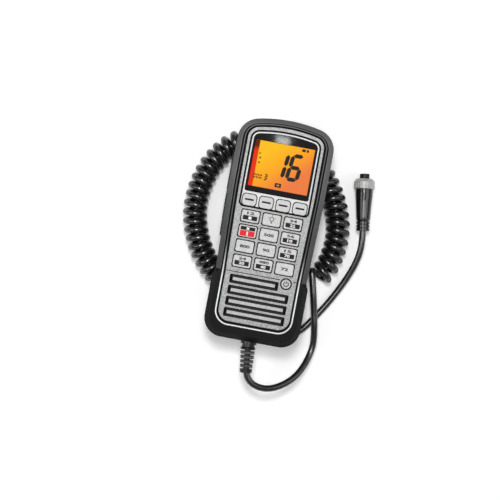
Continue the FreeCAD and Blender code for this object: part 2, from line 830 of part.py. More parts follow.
def make_board():
    body = new_body("main_board")
    half = size("board_width") / 2
    outline = rectangle(-half, size("board_bottom"), half, size("board_top"))
    pad(body, outline, "sizes.board_bottom_level", "sizes.board_thickness")
    chips = []
    for x, y, wide, long, tall in ((-9, 34, 12, 12, 1.6), (10, 38, 14, 9, 1.4), (12, 20, 7, 7, 1.2),
                                   (-12, 14, 9, 6, 2.0), (4, 0, 10, 10, 1.4), (-6, -20, 6, 9, 2.4)):
        chip = doc.addObject("Part::Box", "chip")
        chip.Length = wide
        chip.Width = long
        chip.Height = tall
        chip.Placement = Placement(Vector(x - wide / 2, y - long / 2, 0), Rotation())
        chip.setExpression("Placement.Base.z", "sizes.board_bottom_level - %s" % tall)
        chips.append(chip)
    group("board_chips", chips)


def make_speaker():
    y = size("speaker_along")
    radius = size("speaker_radius")
    top = size("deck_bottom")
    depth = size("speaker_depth")
    inner = size("magnet_radius")
    basket = new_body("speaker_basket")
    revolve(basket, ((inner - 4, -depth), (inner + 1, -depth), (radius - 3, -2), (radius, -2), (radius, 0),
                     (radius - 3.4, 0), (radius - 3.4, -0.6), (inner, -depth + 1.2), (inner - 4, -depth + 1.2)))
    basket.Placement = Placement(Vector(0, y, top), Rotation())
    cone = new_body("speaker_cone")
    revolve(cone, ((0, -3.0), (3.4, -3.4), (inner - 3.2, -depth + 2.4), (radius - 4.2, -1.2), (radius - 3.6, -0.4),
                   (radius - 4.4, -0.4), (inner - 3.4, -depth + 3.2), (3.4, -2.6), (0, -2.2)))
    cone.Placement = Placement(Vector(0, y, top), Rotation())
    magnet = new_body("speaker_magnet")
    revolve(magnet, ((0, -depth - size("magnet_depth")), (inner, -depth - size("magnet_depth")), (inner, -depth),
                     (0, -depth)))
    magnet.Placement = Placement(Vector(0, y, top), Rotation())


def make_grille():
    left, bottom, right, top = grille_opening()
    play = size("play")
    frame = new_body("speaker_grille")
    frame_edges = rectangle(left + play, bottom + play, right - play, top - play)
    bar = size("grille_bar")
    windows = []
    for y, slot_left, slot_right in slot_places():
        for side in (-1, 1):
            low = y + side * (bar / 2 + 0.85)
            windows += rectangle(slot_left + 1.4, low - 0.75, slot_right - 1.4, low + 0.75)
    top_level = "sizes.deck_top - sizes.grille_frame_thickness"
    pad(frame, frame_edges + windows, top_level, "sizes.grille_frame_thickness")
    bars = []
    for y, slot_left, slot_right in slot_places():
        bars += rounded_rectangle((slot_left + slot_right) / 2, y, slot_right - slot_left - 4.4, bar, 0.4)
    power_room = circle(*POWER, size("power_radius") + size("key_flange") + 0.4)
    pocket(frame, power_room, "sizes.deck_top", "sizes.grille_frame_thickness")
    pad(frame, bars, "sizes.deck_top", "sizes.grille_bar_top - sizes.deck_top")
    dress(frame, "Chamfer", edges_where(frame.Shape, flat_at(size("grille_bar_top"))),
          Size="0.3")
    mesh = new_body("speaker_mesh")
    pad(mesh, rectangle(left + 0.3, bottom + 0.3, right - 0.3, top - 0.3),
        "sizes.deck_bottom", "sizes.deck_thickness - sizes.grille_frame_thickness - 0.3")
    pocket(mesh, power_room, "sizes.deck_top", "sizes.deck_thickness")
    microphone = new_body("microphone")
    x = left + size("microphone_radius") + 1.4
    y = top - size("microphone_radius") + 1.0
    pad(microphone, circle(x, y, size("microphone_radius")), "sizes.deck_bottom - sizes.microphone_depth",
        "sizes.microphone_depth")


def make_side_keys():
    for label, place, length_name in SIDE_KEYS:
        origin, turn = wall_place(size(place))
        body = new_body(label)
        length = size(length_name)
        height = size("side_key_height")
        stand = size("side_key_stand")
        wall = size("wall") + 0.2
        pad(body, rectangle(-stand, -length / 2, wall, length / 2),
            "sizes.side_key_level - sizes.side_key_height / 2", "sizes.side_key_height")
        outer = edges_where(body.Shape, lambda box: abs(box.XMin + stand) < 0.01 and abs(box.XMax + stand) < 0.01)
        dress(body, "Fillet", outer, Radius="0.6")
        reach = 0.8
        pad(body, rectangle(wall, -length / 2 - reach, wall + size("side_flange"), length / 2 + reach),
            "sizes.side_key_level - sizes.side_key_height / 2 - 1", "sizes.side_key_height + 2")
        stem = size("switch_stem")
        pad(body, rectangle(wall + size("side_flange"), -stem, wall + size("side_flange") + 1.0, stem),
            "sizes.side_key_level - sizes.side_key_height / 2", "sizes.side_key_height")
        body.Placement = Placement(origin, Rotation(Vector(0, 0, 1), turn))
        switch = new_body(label.replace("_key", "_switch"))
        half = size("board_width") / 2
        width = size("switch_width")
        pad(switch, rectangle(-half, origin.y - size("switch_length") / 2, width - half,
                              origin.y + size("switch_length") / 2),
            "sizes.board_bottom_level - sizes.switch_height", "sizes.switch_height")
        nub = origin.x + wall + size("side_flange") + 1.0 + size("side_key_travel") + 0.15
        pad(switch, rectangle(nub, origin.y - stem / 2, -half, origin.y + stem / 2),
            "sizes.board_bottom_level - 2.2", "1.4")


def make_fasteners():
    screws = []
    for x, y in SCREWS:
        head_level = "sizes.back_height + 0.2"
        screws.append(cylinder("screw_head", x, y, head_level, "sizes.screw_head_radius", "sizes.screw_head"))
        screws.append(cylinder("screw_shank", x, y, head_level, "sizes.screw_radius", "sizes.screw_length"))
    fused = []
    for head, shank in zip(screws[::2], screws[1::2]):
        screw = doc.addObject("Part::Fuse", "case_screw")
        screw.Base = head
        screw.Tool = shank
        fused.append(screw)
    group("case_screws", fused)
    stud = new_body("hanger_stud")
    neck = size("stud_neck")
    head = size("stud_head")
    neck_radius = size("stud_neck_radius")
    head_radius = size("stud_head_radius")
    hole = size("screw_hole")
    sink = size("screw_head_radius") + 0.2
    low = -neck - head
    revolve(stud, ((hole, 0), (neck_radius + 1.5, 0), (neck_radius, -1.5), (neck_radius, -neck),
                   (head_radius - 0.6, -neck), (head_radius, -neck - 0.6), (head_radius, low + 0.8),
                   (head_radius - 0.8, low), (sink, low), (sink, low + size("screw_head") + 0.2),
                   (hole, low + size("screw_head") + 0.2)))
    place = Vector(0, size("stud_along"), size("back_height"))
    stud.Placement = Placement(place, Rotation())
    screw = new_body("hanger_screw")
    radius = size("screw_radius")
    revolve(screw, ((0, low + 0.2), (sink - 0.2, low + 0.2), (sink - 0.2, low + 0.2 + size("screw_head")),
                    (radius, low + 0.2 + size("screw_head")), (radius, 4.5), (0, 4.5)))
    screw.Placement = Placement(place, Rotation())


# Strain relief: a straight neck through the wall and a slotted sleeve that leans to the right.
BOOT_ROOT = Vector(0, case_bottom - size("boot_collar"), size("boot_level"))
BOOT_TURN = Rotation(Vector(0, 0, 1), size("boot_lean"))
BOOT_AXIS = BOOT_TURN.multVec(Vector(0, -1, 0))
BOOT_TIP = BOOT_ROOT + BOOT_AXIS * size("boot_length")


def make_strain_relief():
    collar = size("boot_collar")
    neck = size("boot_neck_radius")
    ring = size("boot_collar_radius")
    inside = size("bumper_wall") + size("wall")
    root = new_body("boot_root")
    parts.remove(root)
    revolve(root, ((0, -collar), (ring, -collar), (ring, 0), (neck, 0), (neck, inside + 0.1), (ring, inside + 0.1),
                   (ring, inside + 2.1), (0, inside + 2.1)))
    root.Placement = Placement(Vector(0, case_bottom, size("boot_level")), Rotation(Vector(1, 0, 0), -90))
    sleeve = new_body("boot_sleeve")
    parts.remove(sleeve)
    length = size("boot_length")
    first = size("boot_root_radius")
    last = size("boot_tip_radius")
    start = first - 0.7
    revolve(sleeve, ((0, -1), (start, -1), (start, 2.2), (first, 3.0), (last, length - 0.5), (last - 0.5, length),
                     (0, length)))
    pitch = (length - 5.0) / size("boot_slots")
    slot = size("boot_slot")
    inner, outer = size("boot_spine") / 2, first + 1
    sides = []
    tops = []
    for number in range(int(size("boot_slots"))):
        low = 4.2 + number * pitch
        sides += rectangle(inner, low, outer, low + slot)
        sides += rectangle(-outer, low, -inner, low + slot)
        if number < size("boot_slots") - 1:
            middle = low + pitch / 2
            tops += rectangle(inner, middle, outer, middle + slot)
            tops += rectangle(-outer, middle, -inner, middle + slot)
    reach = "sizes.boot_root_radius * 2 + 4"
    pocket(sleeve, sides, "-sizes.boot_root_radius - 2", reach, "XZ_Plane", forward=True)
    pocket(sleeve, tops, "-sizes.boot_root_radius - 2", reach, "YZ_Plane", forward=True)
    pocket(sleeve, circle(0, 0, size("cord_diameter") / 2 + 0.05), "sizes.boot_length", "sizes.cord_diameter")
    sleeve.Placement = Placement(BOOT_ROOT, BOOT_TURN.multiply(Rotation(Vector(1, 0, 0), 90)))
    boot = doc.addObject("Part::Fuse", "cord_boot")
    boot.Base = root
    boot.Tool = sleeve
    parts.append(boot)
    clamp = new_body("cord_clamp")
    level = "sizes.floor_level"
    width = 2 * ring + 6
    y = core_bottom + size("wall") + 1.2 + collar
    pad(clamp, rectangle(-width / 2, y, width / 2, y + 4.5), level, "sizes.parting_height - sizes.floor_level - 1")
    return boot


def make_plug():
    turn = Rotation(Vector(0, 0, 1), size("plug_heading") - 90).multiply(Rotation(Vector(1, 0, 0), -90))
    place = Placement(PLUG_ROOT, turn)
    root = size("plug_root_radius")
    front = size("plug_front_radius")
    length = size("plug_length")
    ring = size("ring_length")
    sleeve = size("plug_sleeve_radius")
    body = new_body("plug_body")
    profile = [(0, 0), (root - 0.5, 0)]
    for groove in range(3):
        low = 1.2 + 2.4 * groove
        profile += [(root, low - 0.7), (root, low + 0.7), (root - 0.6, low + 1.0), (root - 0.6, low + 1.4)]
    profile += [(root + 0.1, 8.6), (front, length - 3), (front, length), (sleeve, length),
                (sleeve, length + ring - 0.9), (sleeve - 1.2, length + ring - 0.9), (sleeve - 1.2, length - 2),
                (0, length - 2)]
    revolve(body, profile)
    for side in (-1, 1):
        strip = rectangle(side * 1.6 - 0.35, 9.0, side * 1.6 + 0.35, length - 8)
        pocket(body, strip, "-sizes.plug_front_radius - 1", "2.4", "XZ_Plane", forward=True)
    body.Placement = place
    coupling = new_body("plug_coupling_ring")
    outer = size("ring_radius")
    bore = sleeve + size("ring_clearance")
    start = length + 0.15
    end = length + ring
    revolve(coupling, ((bore, start), (outer - 0.5, start), (outer, start + 0.5), (outer, end - 2.2),
                       (outer - 1.5, end - 0.4), (outer - 2.1, end), (size("nose_radius") + 0.4, end),
                       (size("nose_radius") + 0.4, end - 0.75), (bore, end - 0.75)))
    flute = circle(outer + 0.25, 0, 0.55)
    cut = pocket(coupling, flute, "sizes.plug_length + 0.9", "sizes.ring_length - 3.4", forward=True)
    pattern = coupling.newObject("PartDesign::PolarPattern", "flutes")
    pattern.Originals = [cut]
    pattern.Axis = (next(f for f in coupling.Origin.OriginFeatures if f.Role == "Z_Axis"), [""])
    pattern.Angle = 360
    pattern.Occurrences = int(size("ring_flutes"))
    coupling.Tip = pattern
    settle(pattern)
    coupling.Placement = place
    insert = new_body("plug_insert")
    nose = size("nose_radius")
    inner = nose - size("nose_wall")
    tip = end + size("nose_length")
    revolve(insert, ((0, length - 2), (sleeve - 1.2, length - 2), (sleeve - 1.2, end - 1.6), (nose + 0.3, end - 1.6),
                     (nose + 0.3, end), (nose, end), (nose, tip - 0.4), (nose - 0.4, tip), (inner, tip), (inner, end - 0.5), (0, end - 0.5)))
    insert.Placement = place
    pins = []
    for number in range(int(size("pin_count"))):
        pin = doc.addObject("Part::Cylinder", "plug_pin")
        pin.setExpression("Radius", "sizes.pin_radius")
        pin.Height = size("nose_length") - 0.3
        angle = 2 * math.pi * number / size("pin_count")
        across = size("pin_circle")
        local = Vector(across * math.cos(angle), across * math.sin(angle), end - 0.5)
        pin.Placement = place.multiply(Placement(local, Rotation()))
        pins.append(pin)
    group("plug_pins", pins)


def unit(vector):
    return vector / vector.Length


def smooth_path(points):
    """Straight runs joined by tangent arcs, each as large as its two runs allow."""
    edges = []
    radii = []
    last = points[0]
    for before, corner, after in zip(points, points[1:], points[2:]):
        come, go = unit(corner - before), unit(after - corner)
        turn = come.getAngle(go)
        cut = 0.45 * min((corner - before).Length, (after - corner).Length)
        radius = cut / math.tan(turn / 2)
        radii.append(radius)
        start, end = corner - come * cut, corner + go * cut
        bisector = unit(go - come)
        middle = corner + bisector * (radius / math.cos(turn / 2) - radius)
        edges.append(Part.LineSegment(last, start).toShape())
        edges.append(Part.Arc(start, middle, end).toShape())
        last = end
    edges.append(Part.LineSegment(last, points[-1]).toShape())
    return edges, radii


def sweep(label, edges):
    """Round cord along a path, checked by its volume."""
    radius = size("cord_diameter") / 2
    path = Part.Wire(edges)
    start = path.Edges[0].valueAt(path.Edges[0].FirstParameter)
    heading = path.Edges[0].tangentAt(path.Edges[0].FirstParameter)
    section = Part.Wire(Part.makeCircle(radius, start, heading))
    solid = path.makePipeShell([section], True, False)
    expected = math.pi * radius ** 2 * path.Length
    print("%s: length %.1f mm, volume ratio %.4f" % (label, path.Length, solid.Volume / expected))
    feature = doc.addObject("Part::Feature", label)
    feature.Shape = solid
    parts.append(feature)
    return feature


# Middle line of the curls, from the end by the right side, round behind the screen end, to the left.
COIL_LINE = [
    Vector(x, y, size("coil_level"))
    for x, y in (
        (41.9, -26.6), (46.4, -20.6), (49.8, -8.0), (50.9, 5.0), (48.9, 17.6), (43.6, 31.6), (35.0, 45.6),
        (23.0, 57.4), (8.4, 65.2), (-8.4, 68.0), (-25.4, 66.4), (-40.0, 58.6), (-50.6, 44.0), (-56.0, 28.0),
        (-57.8, 11.6), (-55.4, -3.6), (-49.0, -19.2), (-39.6, -32.4), (-26.0, -44.2),
    )
]


def spline_through(points):
    """Quadratic spline that starts and ends on the first and last points and follows the others."""
    count = len(points)
    knots = [0.0] + [float(number) for number in range(1, count - 2)] + [float(count - 2)]
    curve = Part.BSplineCurve()
    multiplicities = [3] + [1] * (count - 3) + [3]
    curve.buildFromPolesMultsKnots(points, multiplicities, knots, False, 2)
    return curve


def curl_frames():
    """Points, directions and phases along the curls' middle line, an even quarter turn apart."""
    curve = spline_through(COIL_LINE)
    shape = curve.toShape()
    length = shape.Length
    radius = size("coil_radius")
    slope = math.cos(math.atan2(size("coil_pitch"), 2 * math.pi * radius))
    samples = 4000
    step = length / samples
    phase = 0.0
    stations = []
    phases = []
    for number in range(samples + 1):
        along = number * step
        parameter = shape.getParameterByLength(along)
        stations.append(parameter)
        phases.append(phase)
        bend = curve.curvature(parameter)
        least = (size("cord_diameter") + size("coil_gap")) / slope / (1 - radius * bend)
        fan = size("coil_fan") * math.exp(-along / size("coil_fan_reach"))
        pitch = max(size("coil_pitch"), least) + fan
        phase += 2 * math.pi * step / pitch
    turns = phases[-1]
    return curve, stations, phases, turns


def helix_point(curve, parameter, phase):
    """Point of the cord on the curls: a left-handed winding about the middle line."""
    centre = curve.value(parameter)
    heading = unit(curve.tangent(parameter)[0])
    across = unit(Vector(0, 0, 1).cross(heading))
    up = Vector(0, 0, 1)
    radius = size("coil_radius")
    return centre + across * (radius * math.cos(phase)) - up * (radius * math.sin(phase))


def biarc(start, start_heading, end, end_heading):
    """Two arcs that join two points with given headings and meet smoothly."""
    chord = end - start
    total = start_heading + end_heading
    spread = 2 * (start_heading.dot(end_heading) - 1)
    slope = chord.dot(total)
    if abs(spread) < 1e-9:
        reach = chord.dot(chord) / (2 * slope)
    else:
        root = slope * slope - spread * chord.dot(chord)
        reach = (slope - math.sqrt(root)) / spread
    joint = (start + end + (start_heading - end_heading) * reach) / 2
    first_leg = start + start_heading * reach
    return arc_through(start, start_heading, joint), arc_through(joint, unit(joint - first_leg), end)


def arc_through(start, heading, end):
    chord = end - start
    straight = unit(chord)
    sideways = heading - straight * heading.dot(straight)
    half_turn = math.acos(max(-1.0, min(1.0, heading.dot(straight))))
    if half_turn < 1e-6:
        return Part.LineSegment(start, end).toShape()
    rise = chord.Length / 2 * math.tan(half_turn / 2)
    middle = start + chord / 2 + unit(sideways) * rise
    return Part.Arc(start, middle, end).toShape()


def curl_points():
    """Points and headings of the cord on the curls, a quarter turn apart."""
    curve, stations, phases, turns = curl_frames()
    quarters = int(round(turns / (math.pi / 2)))
    quarters -= (quarters - 1) % 4
    scale = turns / (quarters * math.pi / 2)
    points = []
    headings = []
    index = 0
    for number in range(quarters + 1):
        wanted = min(number * math.pi / 2 * scale, turns)
        while index < len(phases) - 2 and phases[index + 1] < wanted:
            index += 1
        share = (wanted - phases[index]) / (phases[index + 1] - phases[index])
        parameter = stations[index] + share * (stations[index + 1] - stations[index])
        nudge = 1e-3
        here = helix_point(curve, parameter, number * math.pi / 2)
        slope_now = (stations[index + 1] - stations[index]) / ((phases[index + 1] - phases[index]) / scale)
        before = helix_point(curve, parameter - slope_now * nudge, number * math.pi / 2 - nudge)
        after = helix_point(curve, parameter + slope_now * nudge, number * math.pi / 2 + nudge)
        points.append(here)
        headings.append(unit(after - before))
    return points, headings


def least_gap(edges):
    """Least gap between stretches of the cord that are over half a turn apart along it."""
    samples = []
    along = 0.0
    for edge in edges:
        count = 6
        for number in range(count):
            share = number / count
            span = edge.LastParameter - edge.FirstParameter
            samples.append((along + share * edge.Length, edge.valueAt(edge.FirstParameter + share * span)))
        along += edge.Length
    apart = math.pi * size("coil_radius")
    best = 1e9
    for first in range(len(samples)):
        for second in range(first + 1, min(first + 60, len(samples))):
            if samples[second][0] - samples[first][0] > apart:
                best = min(best, samples[first][1].distanceToPoint(samples[second][1]))
    return best - size("cord_diameter")


CURL_POINTS, CURL_HEADINGS = curl_points()
# The cord leaves the first curl upwards and bends over towards the strain relief.
LEAD_HEADING = unit(Vector(0.242, -0.970, 0))
LEAD_BEND = 5.4
LEAD = CURL_POINTS[0] + (LEAD_HEADING + Vector(0, 0, 1)) * LEAD_BEND
LEAD_END = LEAD + LEAD_HEADING * size("cord_diameter")
# It leaves the last curl level, along the surface.
TRAIL = CURL_POINTS[-1]
TRAIL_HEADING = CURL_HEADINGS[-1]
TRAIL_END = TRAIL + Vector(TRAIL_HEADING.x, TRAIL_HEADING.y, 0) * size("cord_diameter")


def make_coil():
    edges = [Part.LineSegment(LEAD_END, LEAD).toShape()]
    edges += biarc(LEAD, LEAD_HEADING * -1, CURL_POINTS[0], CURL_HEADINGS[0])
    for number in range(len(CURL_POINTS) - 1):
        edges += biarc(CURL_POINTS[number], CURL_HEADINGS[number], CURL_POINTS[number + 1], CURL_HEADINGS[number + 1])
    edges.append(Part.LineSegment(TRAIL, TRAIL_END).toShape())
    print("curls: %d, least gap %.2f mm" % (len(CURL_POINTS) // 4, least_gap(edges)))
    return sweep("cord_coil", edges)


def make_tails():
    floor = size("cord_diameter") / 2 + 0.1
    run = size("cord_diameter")
    handset_line = [
        BOOT_TIP - BOOT_AXIS * run,
        BOOT_TIP + BOOT_AXIS * 2.4,
        Vector(10.5, -113.6, 28.0),
        Vector(24.1, -113.2, 25.5),
        Vector(40.1, -101.5, 19.0),
        Vector(48.2, -80.5, 8.5),
        Vector(46.4, -65.0, 13.0),
        Vector(43.8, -53.4, 13.2),
        LEAD_END + LEAD_HEADING * 9,
        LEAD_END,
    ]
    plug_line = [
        TRAIL_END,
        TRAIL_END + unit(TRAIL_END - TRAIL) * 7.5,
        Vector(-33.4, -64.0, floor),
        Vector(-28.8, -72.9, floor),
        Vector(-19.4, -77.0, floor),
        Vector(-7.0, -78.0, floor),
        Vector(8.0, -77.4, floor),
        Vector(23.6, -75.4, floor),
        Vector(36.2, -69.6, floor),
        Vector(43.6, -59.2, floor),
        Vector(51.3, -47.4, floor),
        Vector(58.3, -34.6, floor + 0.6),
        Vector(64.6, -21.0, 4.4),
        Vector(68.9, -8.0, 6.6),
        PLUG_ROOT - PLUG_AXIS * 9,
        PLUG_ROOT,
    ]
    for label, points in (("cord_tail_handset", handset_line), ("cord_tail_plug", plug_line)):
        edges, radii = smooth_path(points)
        print(label, "radii", ", ".join("%.1f" % radius for radius in radii))
        sweep(label, edges)


PLUG_ROOT = Vector(68.5, 13.4, size("plug_level"))
PLUG_AXIS = Rotation(Vector(0, 0, 1), size("plug_heading") - 90).multVec(Vector(0, 1, 0))

make_front_shell()
make_rear_shell()
make_case_seal()
make_lower_bumper()
make_face_plate()
make_face_trim_ring()
make_screen()
make_keypad()
make_board()
make_speaker()
make_grille()
make_side_keys()
make_fasteners()
make_strain_relief()
make_plug()
make_coil()
make_tails()
doc.recompute()

os.makedirs("parts", exist_ok=True)
for item in doc.Objects:
    if "Invalid" in item.State or "Error" in item.State:
        raise ValueError("%s did not recompute" % item.Label)
for item in parts:
    if item.Shape.isNull() or not item.Shape.isValid():
        raise ValueError("%s has no valid shape" % item.Label)
    item.Shape.exportStep("parts/%s.step" % item.Label)
print("%d parts" % len(parts))
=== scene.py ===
import math

import bmesh
import bpy
from mathutils import Matrix, Vector


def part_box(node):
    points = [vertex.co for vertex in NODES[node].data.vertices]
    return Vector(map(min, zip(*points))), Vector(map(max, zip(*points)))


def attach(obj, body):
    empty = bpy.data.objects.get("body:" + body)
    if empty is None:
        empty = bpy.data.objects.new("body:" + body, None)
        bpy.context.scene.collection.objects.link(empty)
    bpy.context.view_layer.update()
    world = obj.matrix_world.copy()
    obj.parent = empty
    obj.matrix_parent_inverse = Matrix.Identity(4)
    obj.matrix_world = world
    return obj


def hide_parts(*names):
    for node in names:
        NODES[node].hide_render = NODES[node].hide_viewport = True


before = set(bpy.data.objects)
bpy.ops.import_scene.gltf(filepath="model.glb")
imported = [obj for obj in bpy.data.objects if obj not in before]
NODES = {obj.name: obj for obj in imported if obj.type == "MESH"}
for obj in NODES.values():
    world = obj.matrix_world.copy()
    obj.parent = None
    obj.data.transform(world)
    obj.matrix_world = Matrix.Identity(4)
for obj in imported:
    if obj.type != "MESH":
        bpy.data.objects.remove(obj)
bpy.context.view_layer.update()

MM = 0.001

# Camera straight above, turned as the photographer's was; lengths in metres, its sensor in millimetres.
CAMERA_TURN = math.radians(10.57)
CAMERA_PLACE = (-0.01138, -0.01585)
CAMERA_HEIGHT = 1.05
SENSOR_WIDTH = 36.0
PICTURE_WIDTH = 0.375

# Place on the floor that the lamps are aimed at.
LAMP_AIM = Vector((-0.011, -0.016, 0))

# The floor, in metres, lies just under the object, so that the two don't share a level.
FLOOR_SIZE = 2.5
FLOOR_DROP = 0.0002

# Its glow, over the square of the distance from the middle.
GLOW_SPAN = (0.02, 0.5)
GLOW = (0.13, 0.72)

# Route of the cord in millimetres, as in the part's source.
CORD_DIAMETER = 4.9
COIL_RADIUS = 6.75
COIL_PITCH = 5.9
COIL_GAP = 0.5
COIL_FAN = 1.3
COIL_FAN_REACH = 9.0
COIL_LEVEL = 9.3
COIL_LINE = (
    (41.9, -26.6), (46.4, -20.6), (49.8, -8.0), (50.9, 5.0), (48.9, 17.6), (43.6, 31.6), (35.0, 45.6),
    (23.0, 57.4), (8.4, 65.2), (-8.4, 68.0), (-25.4, 66.4), (-40.0, 58.6), (-50.6, 44.0), (-56.0, 28.0),
    (-57.8, 11.6), (-55.4, -3.6), (-49.0, -19.2), (-39.6, -32.4), (-26.0, -44.2),
)
BOOT_ROOT = Vector((0, -83.2, 29.5))
BOOT_LENGTH = 21.2
BOOT_LEAN = 5.0
BOOT_STRAIGHT = 2.4
LEAD_HEADING = Vector((0.242, -0.970, 0)).normalized()
LEAD_BEND = 5.4
LEAD_STRAIGHT = 9.0
LEAD_EASE = 1.5
TRAIL_REACH = (5.0, 12.4)
FLOOR_LEVEL = CORD_DIAMETER / 2 + 0.1
PLUG_ROOT = Vector((68.5, 13.4, 7.9))
PLUG_HEADING = 98.5
PLUG_STRAIGHT = 9.0
POINTS_PER_TURN = 16
HANDSET_ROUTE = (
    (10.5, -113.6, 28.0), (24.1, -113.2, 25.5), (40.1, -101.5, 19.0), (48.2, -80.5, 8.5),
    (46.4, -65.0, 13.0), (43.8, -53.4, 13.2),
)
PLUG_ROUTE = (
    (-33.4, -64.0, FLOOR_LEVEL), (-28.8, -72.9, FLOOR_LEVEL), (-19.4, -77.0, FLOOR_LEVEL),
    (-7.0, -78.0, FLOOR_LEVEL), (8.0, -77.4, FLOOR_LEVEL), (23.6, -75.4, FLOOR_LEVEL),
    (36.2, -69.6, FLOOR_LEVEL), (43.6, -59.2, FLOOR_LEVEL), (51.3, -47.4, FLOOR_LEVEL),
    (58.3, -34.6, FLOOR_LEVEL + 0.6), (64.6, -21.0, 4.4), (68.9, -8.0, 6.6),
)

# Places and heights on the face, in millimetres. Those of the keys and the display follow the part's source.
KEY_TOP = 42.8
SOFT_TOP = 42.9
COLUMNS = (("left", -15.6), ("middle", 0.0), ("right", 15.6))
KEY_ROWS = (("row1", 8.0), ("row2", -3.0), ("row3", -14.0), ("row4", -25.0))
SOFT_ROW = 19.6
SOFT_PITCH = 12.3
POWER_PLACE = (18.6, -35.3)
PLATE_LINE = -33.0
DISPLAY_MIDDLE = 46.8
MARKS_LEVEL = 39.71
MARKS_THICKNESS = 0.04

# Levels in metres under which the grooves and gaps of each piece get painted shade, a dull black.
BAND_GROOVE = 0.0401
PLATE_GROOVE = 0.0418
TRIM_GROOVE = 0.0420
KEY_GROOVE = 0.0425
POWER_GROOVE = 0.0424
GRILLE_GROOVE = 0.0417
GROOVE_DEPTH = 0.0025
SOFT_EDGE = 0.0001
GROOVE_SHADE_BLACK = (0.004, 0.004, 0.004)
PAINT_GLOSS = 0.3

# Soft edges of what is painted on the surfaces: where each begins and ends, in metres.
# Span along which the case's tone changes, its painted reflection included.
CASE_SPAN = (-0.06, 0.082)
TRIM_CHANGE = (-0.045, -0.01)
LINE_EDGE = (0.00022, 0.00032)
LINE_CLEAR = (0.0046, 0.0050)
OPENING_SIDE = (0.0215, 0.0219)
OPENING_END = (0.0166, 0.0170)
STRIP_EDGE = (-0.0187, -0.0180)
STRIP_DARKENS = (0.0555, 0.0600)
# Edges of the painted reflection along the plug.
REFLECTION_SIDE = (0.0011, 0.0014)
REFLECTION_START = (0.0095, 0.0105)
REFLECTION_END = (0.022, 0.023)
GLOW_SPREAD = 0.034
THREAD_SPACING = 0.0009

# How far up a surface faces where it begins and ends to count as a floor or as a wall.
FLOOR_FACING = (0.8, 0.9)
WALL_FACING = (0.2, 0.3)

# How far the print reaches into a surface and stands proud of it, in millimetres.
INK_SUNK = 0.01
INK_PROUD = 0.02
INK_THICKNESS = INK_SUNK + INK_PROUD
CORNER_STEPS = 4

# Inks of the keys and of the display, in the order of their materials.
DARK, GREY, WHITE, RED = range(4)
BLACK, BROWN, AMBER = range(3)

# What is printed on each key: kind of print, its numerals, numerals on its bar.
KEY_PRINTS = {
    "row1_left": ("bar", "12", "1"),
    "row1_middle": ("lamp", "", ""),
    "row1_right": ("bar", "34", "22"),
    "row2_left": ("red", "", ""),
    "row2_middle": ("plain", "500", ""),
    "row2_right": ("bar", "56", "10"),
    "row3_left": ("plain", "800", ""),
    "row3_middle": ("plain", "90", ""),
    "row3_right": ("bar", "15", "70"),
    "row4_left": ("bar", "24", "20"),
    "row4_middle": ("bar", "480", "40"),
    "row4_right": ("plain", "72", ""),
}

# Strokes of the display's numerals.
SEGMENTS = {
    "0": "abcdef",
    "1": "bc",
    "3": "abgcd",
    "6": "afgedc",
}

# Numerals of the display: numeral, left, bottom, width, height, stroke, slant, ink.
DISPLAY_NUMERALS = (
    ("1", -4.3, 38.0, 7.0, 20.3, 2.9, 0.13, BLACK),
    ("6", 3.3, 38.0, 10.1, 20.3, 2.9, 0.13, BLACK),
    ("3", -11.8, 35.4, 3.0, 4.9, 1.1, 0.08, BROWN),
    ("0", -19.2, 35.7, 1.9, 4.0, 0.8, 0.0, BROWN),
    ("0", -16.9, 35.7, 1.9, 4.0, 0.8, 0.0, BROWN),
    ("0", -14.6, 35.7, 1.9, 4.0, 0.8, 0.0, BROWN),
)

# The talk key's outer face leans like the case's side, which comes in by the taper over its length.
TALK_KEY_MIDDLE = Vector((-34.566, 6.5, 31.7))
SIDE_TAPER = 1.8
SIDE_LENGTH = 61.0

# Places of the back's screws: distance from the middle line, place along the case.
CASE_SCREWS = ((25.5, 67.0), (22.5, -71.5))
SCREW_LEVEL = 21.2
HANGER_PLACE = 32.0


def add_object(name, data):
    """New object with this data, linked to the scene."""
    made = bpy.data.objects.new(name, data)
    bpy.context.scene.collection.objects.link(made)
    return made


def set_camera():
    """Camera straight above the handset, turned as the photographer's was."""
    camera = bpy.data.cameras.new("camera")
    camera.sensor_fit = "HORIZONTAL"
    camera.sensor_width = SENSOR_WIDTH
    camera.lens = SENSOR_WIDTH * CAMERA_HEIGHT / PICTURE_WIDTH
    holder = add_object("camera", camera)
    holder.location = (*CAMERA_PLACE, CAMERA_HEIGHT)
    holder.rotation_euler = (0, 0, CAMERA_TURN)
    bpy.context.scene.camera = holder


def nurbs_curve(name, points, resolution):
    """Smooth open curve with these control points, in metres."""
    curve = bpy.data.curves.new(name, "CURVE")
    curve.dimensions = "3D"
    curve.resolution_u = resolution
    spline = curve.splines.new("NURBS")
    spline.points.add(len(points) - 1)
    for target, point in zip(spline.points, points):
        target.co = (*point, 1.0)
    spline.order_u = 3
    spline.use_endpoint_u = True
    return curve


def line_of(points, resolution):
    """Points along the smooth line that the control points give."""
    holder = add_object("line", nurbs_curve("line", points, resolution))
    graph = bpy.context.evaluated_depsgraph_get()
    mesh = bpy.data.meshes.new_from_object(holder.evaluated_get(graph))
    found = [vertex.co.copy() for vertex in mesh.vertices]
    bpy.data.objects.remove(holder)
    bpy.data.meshes.remove(mesh)
    return found


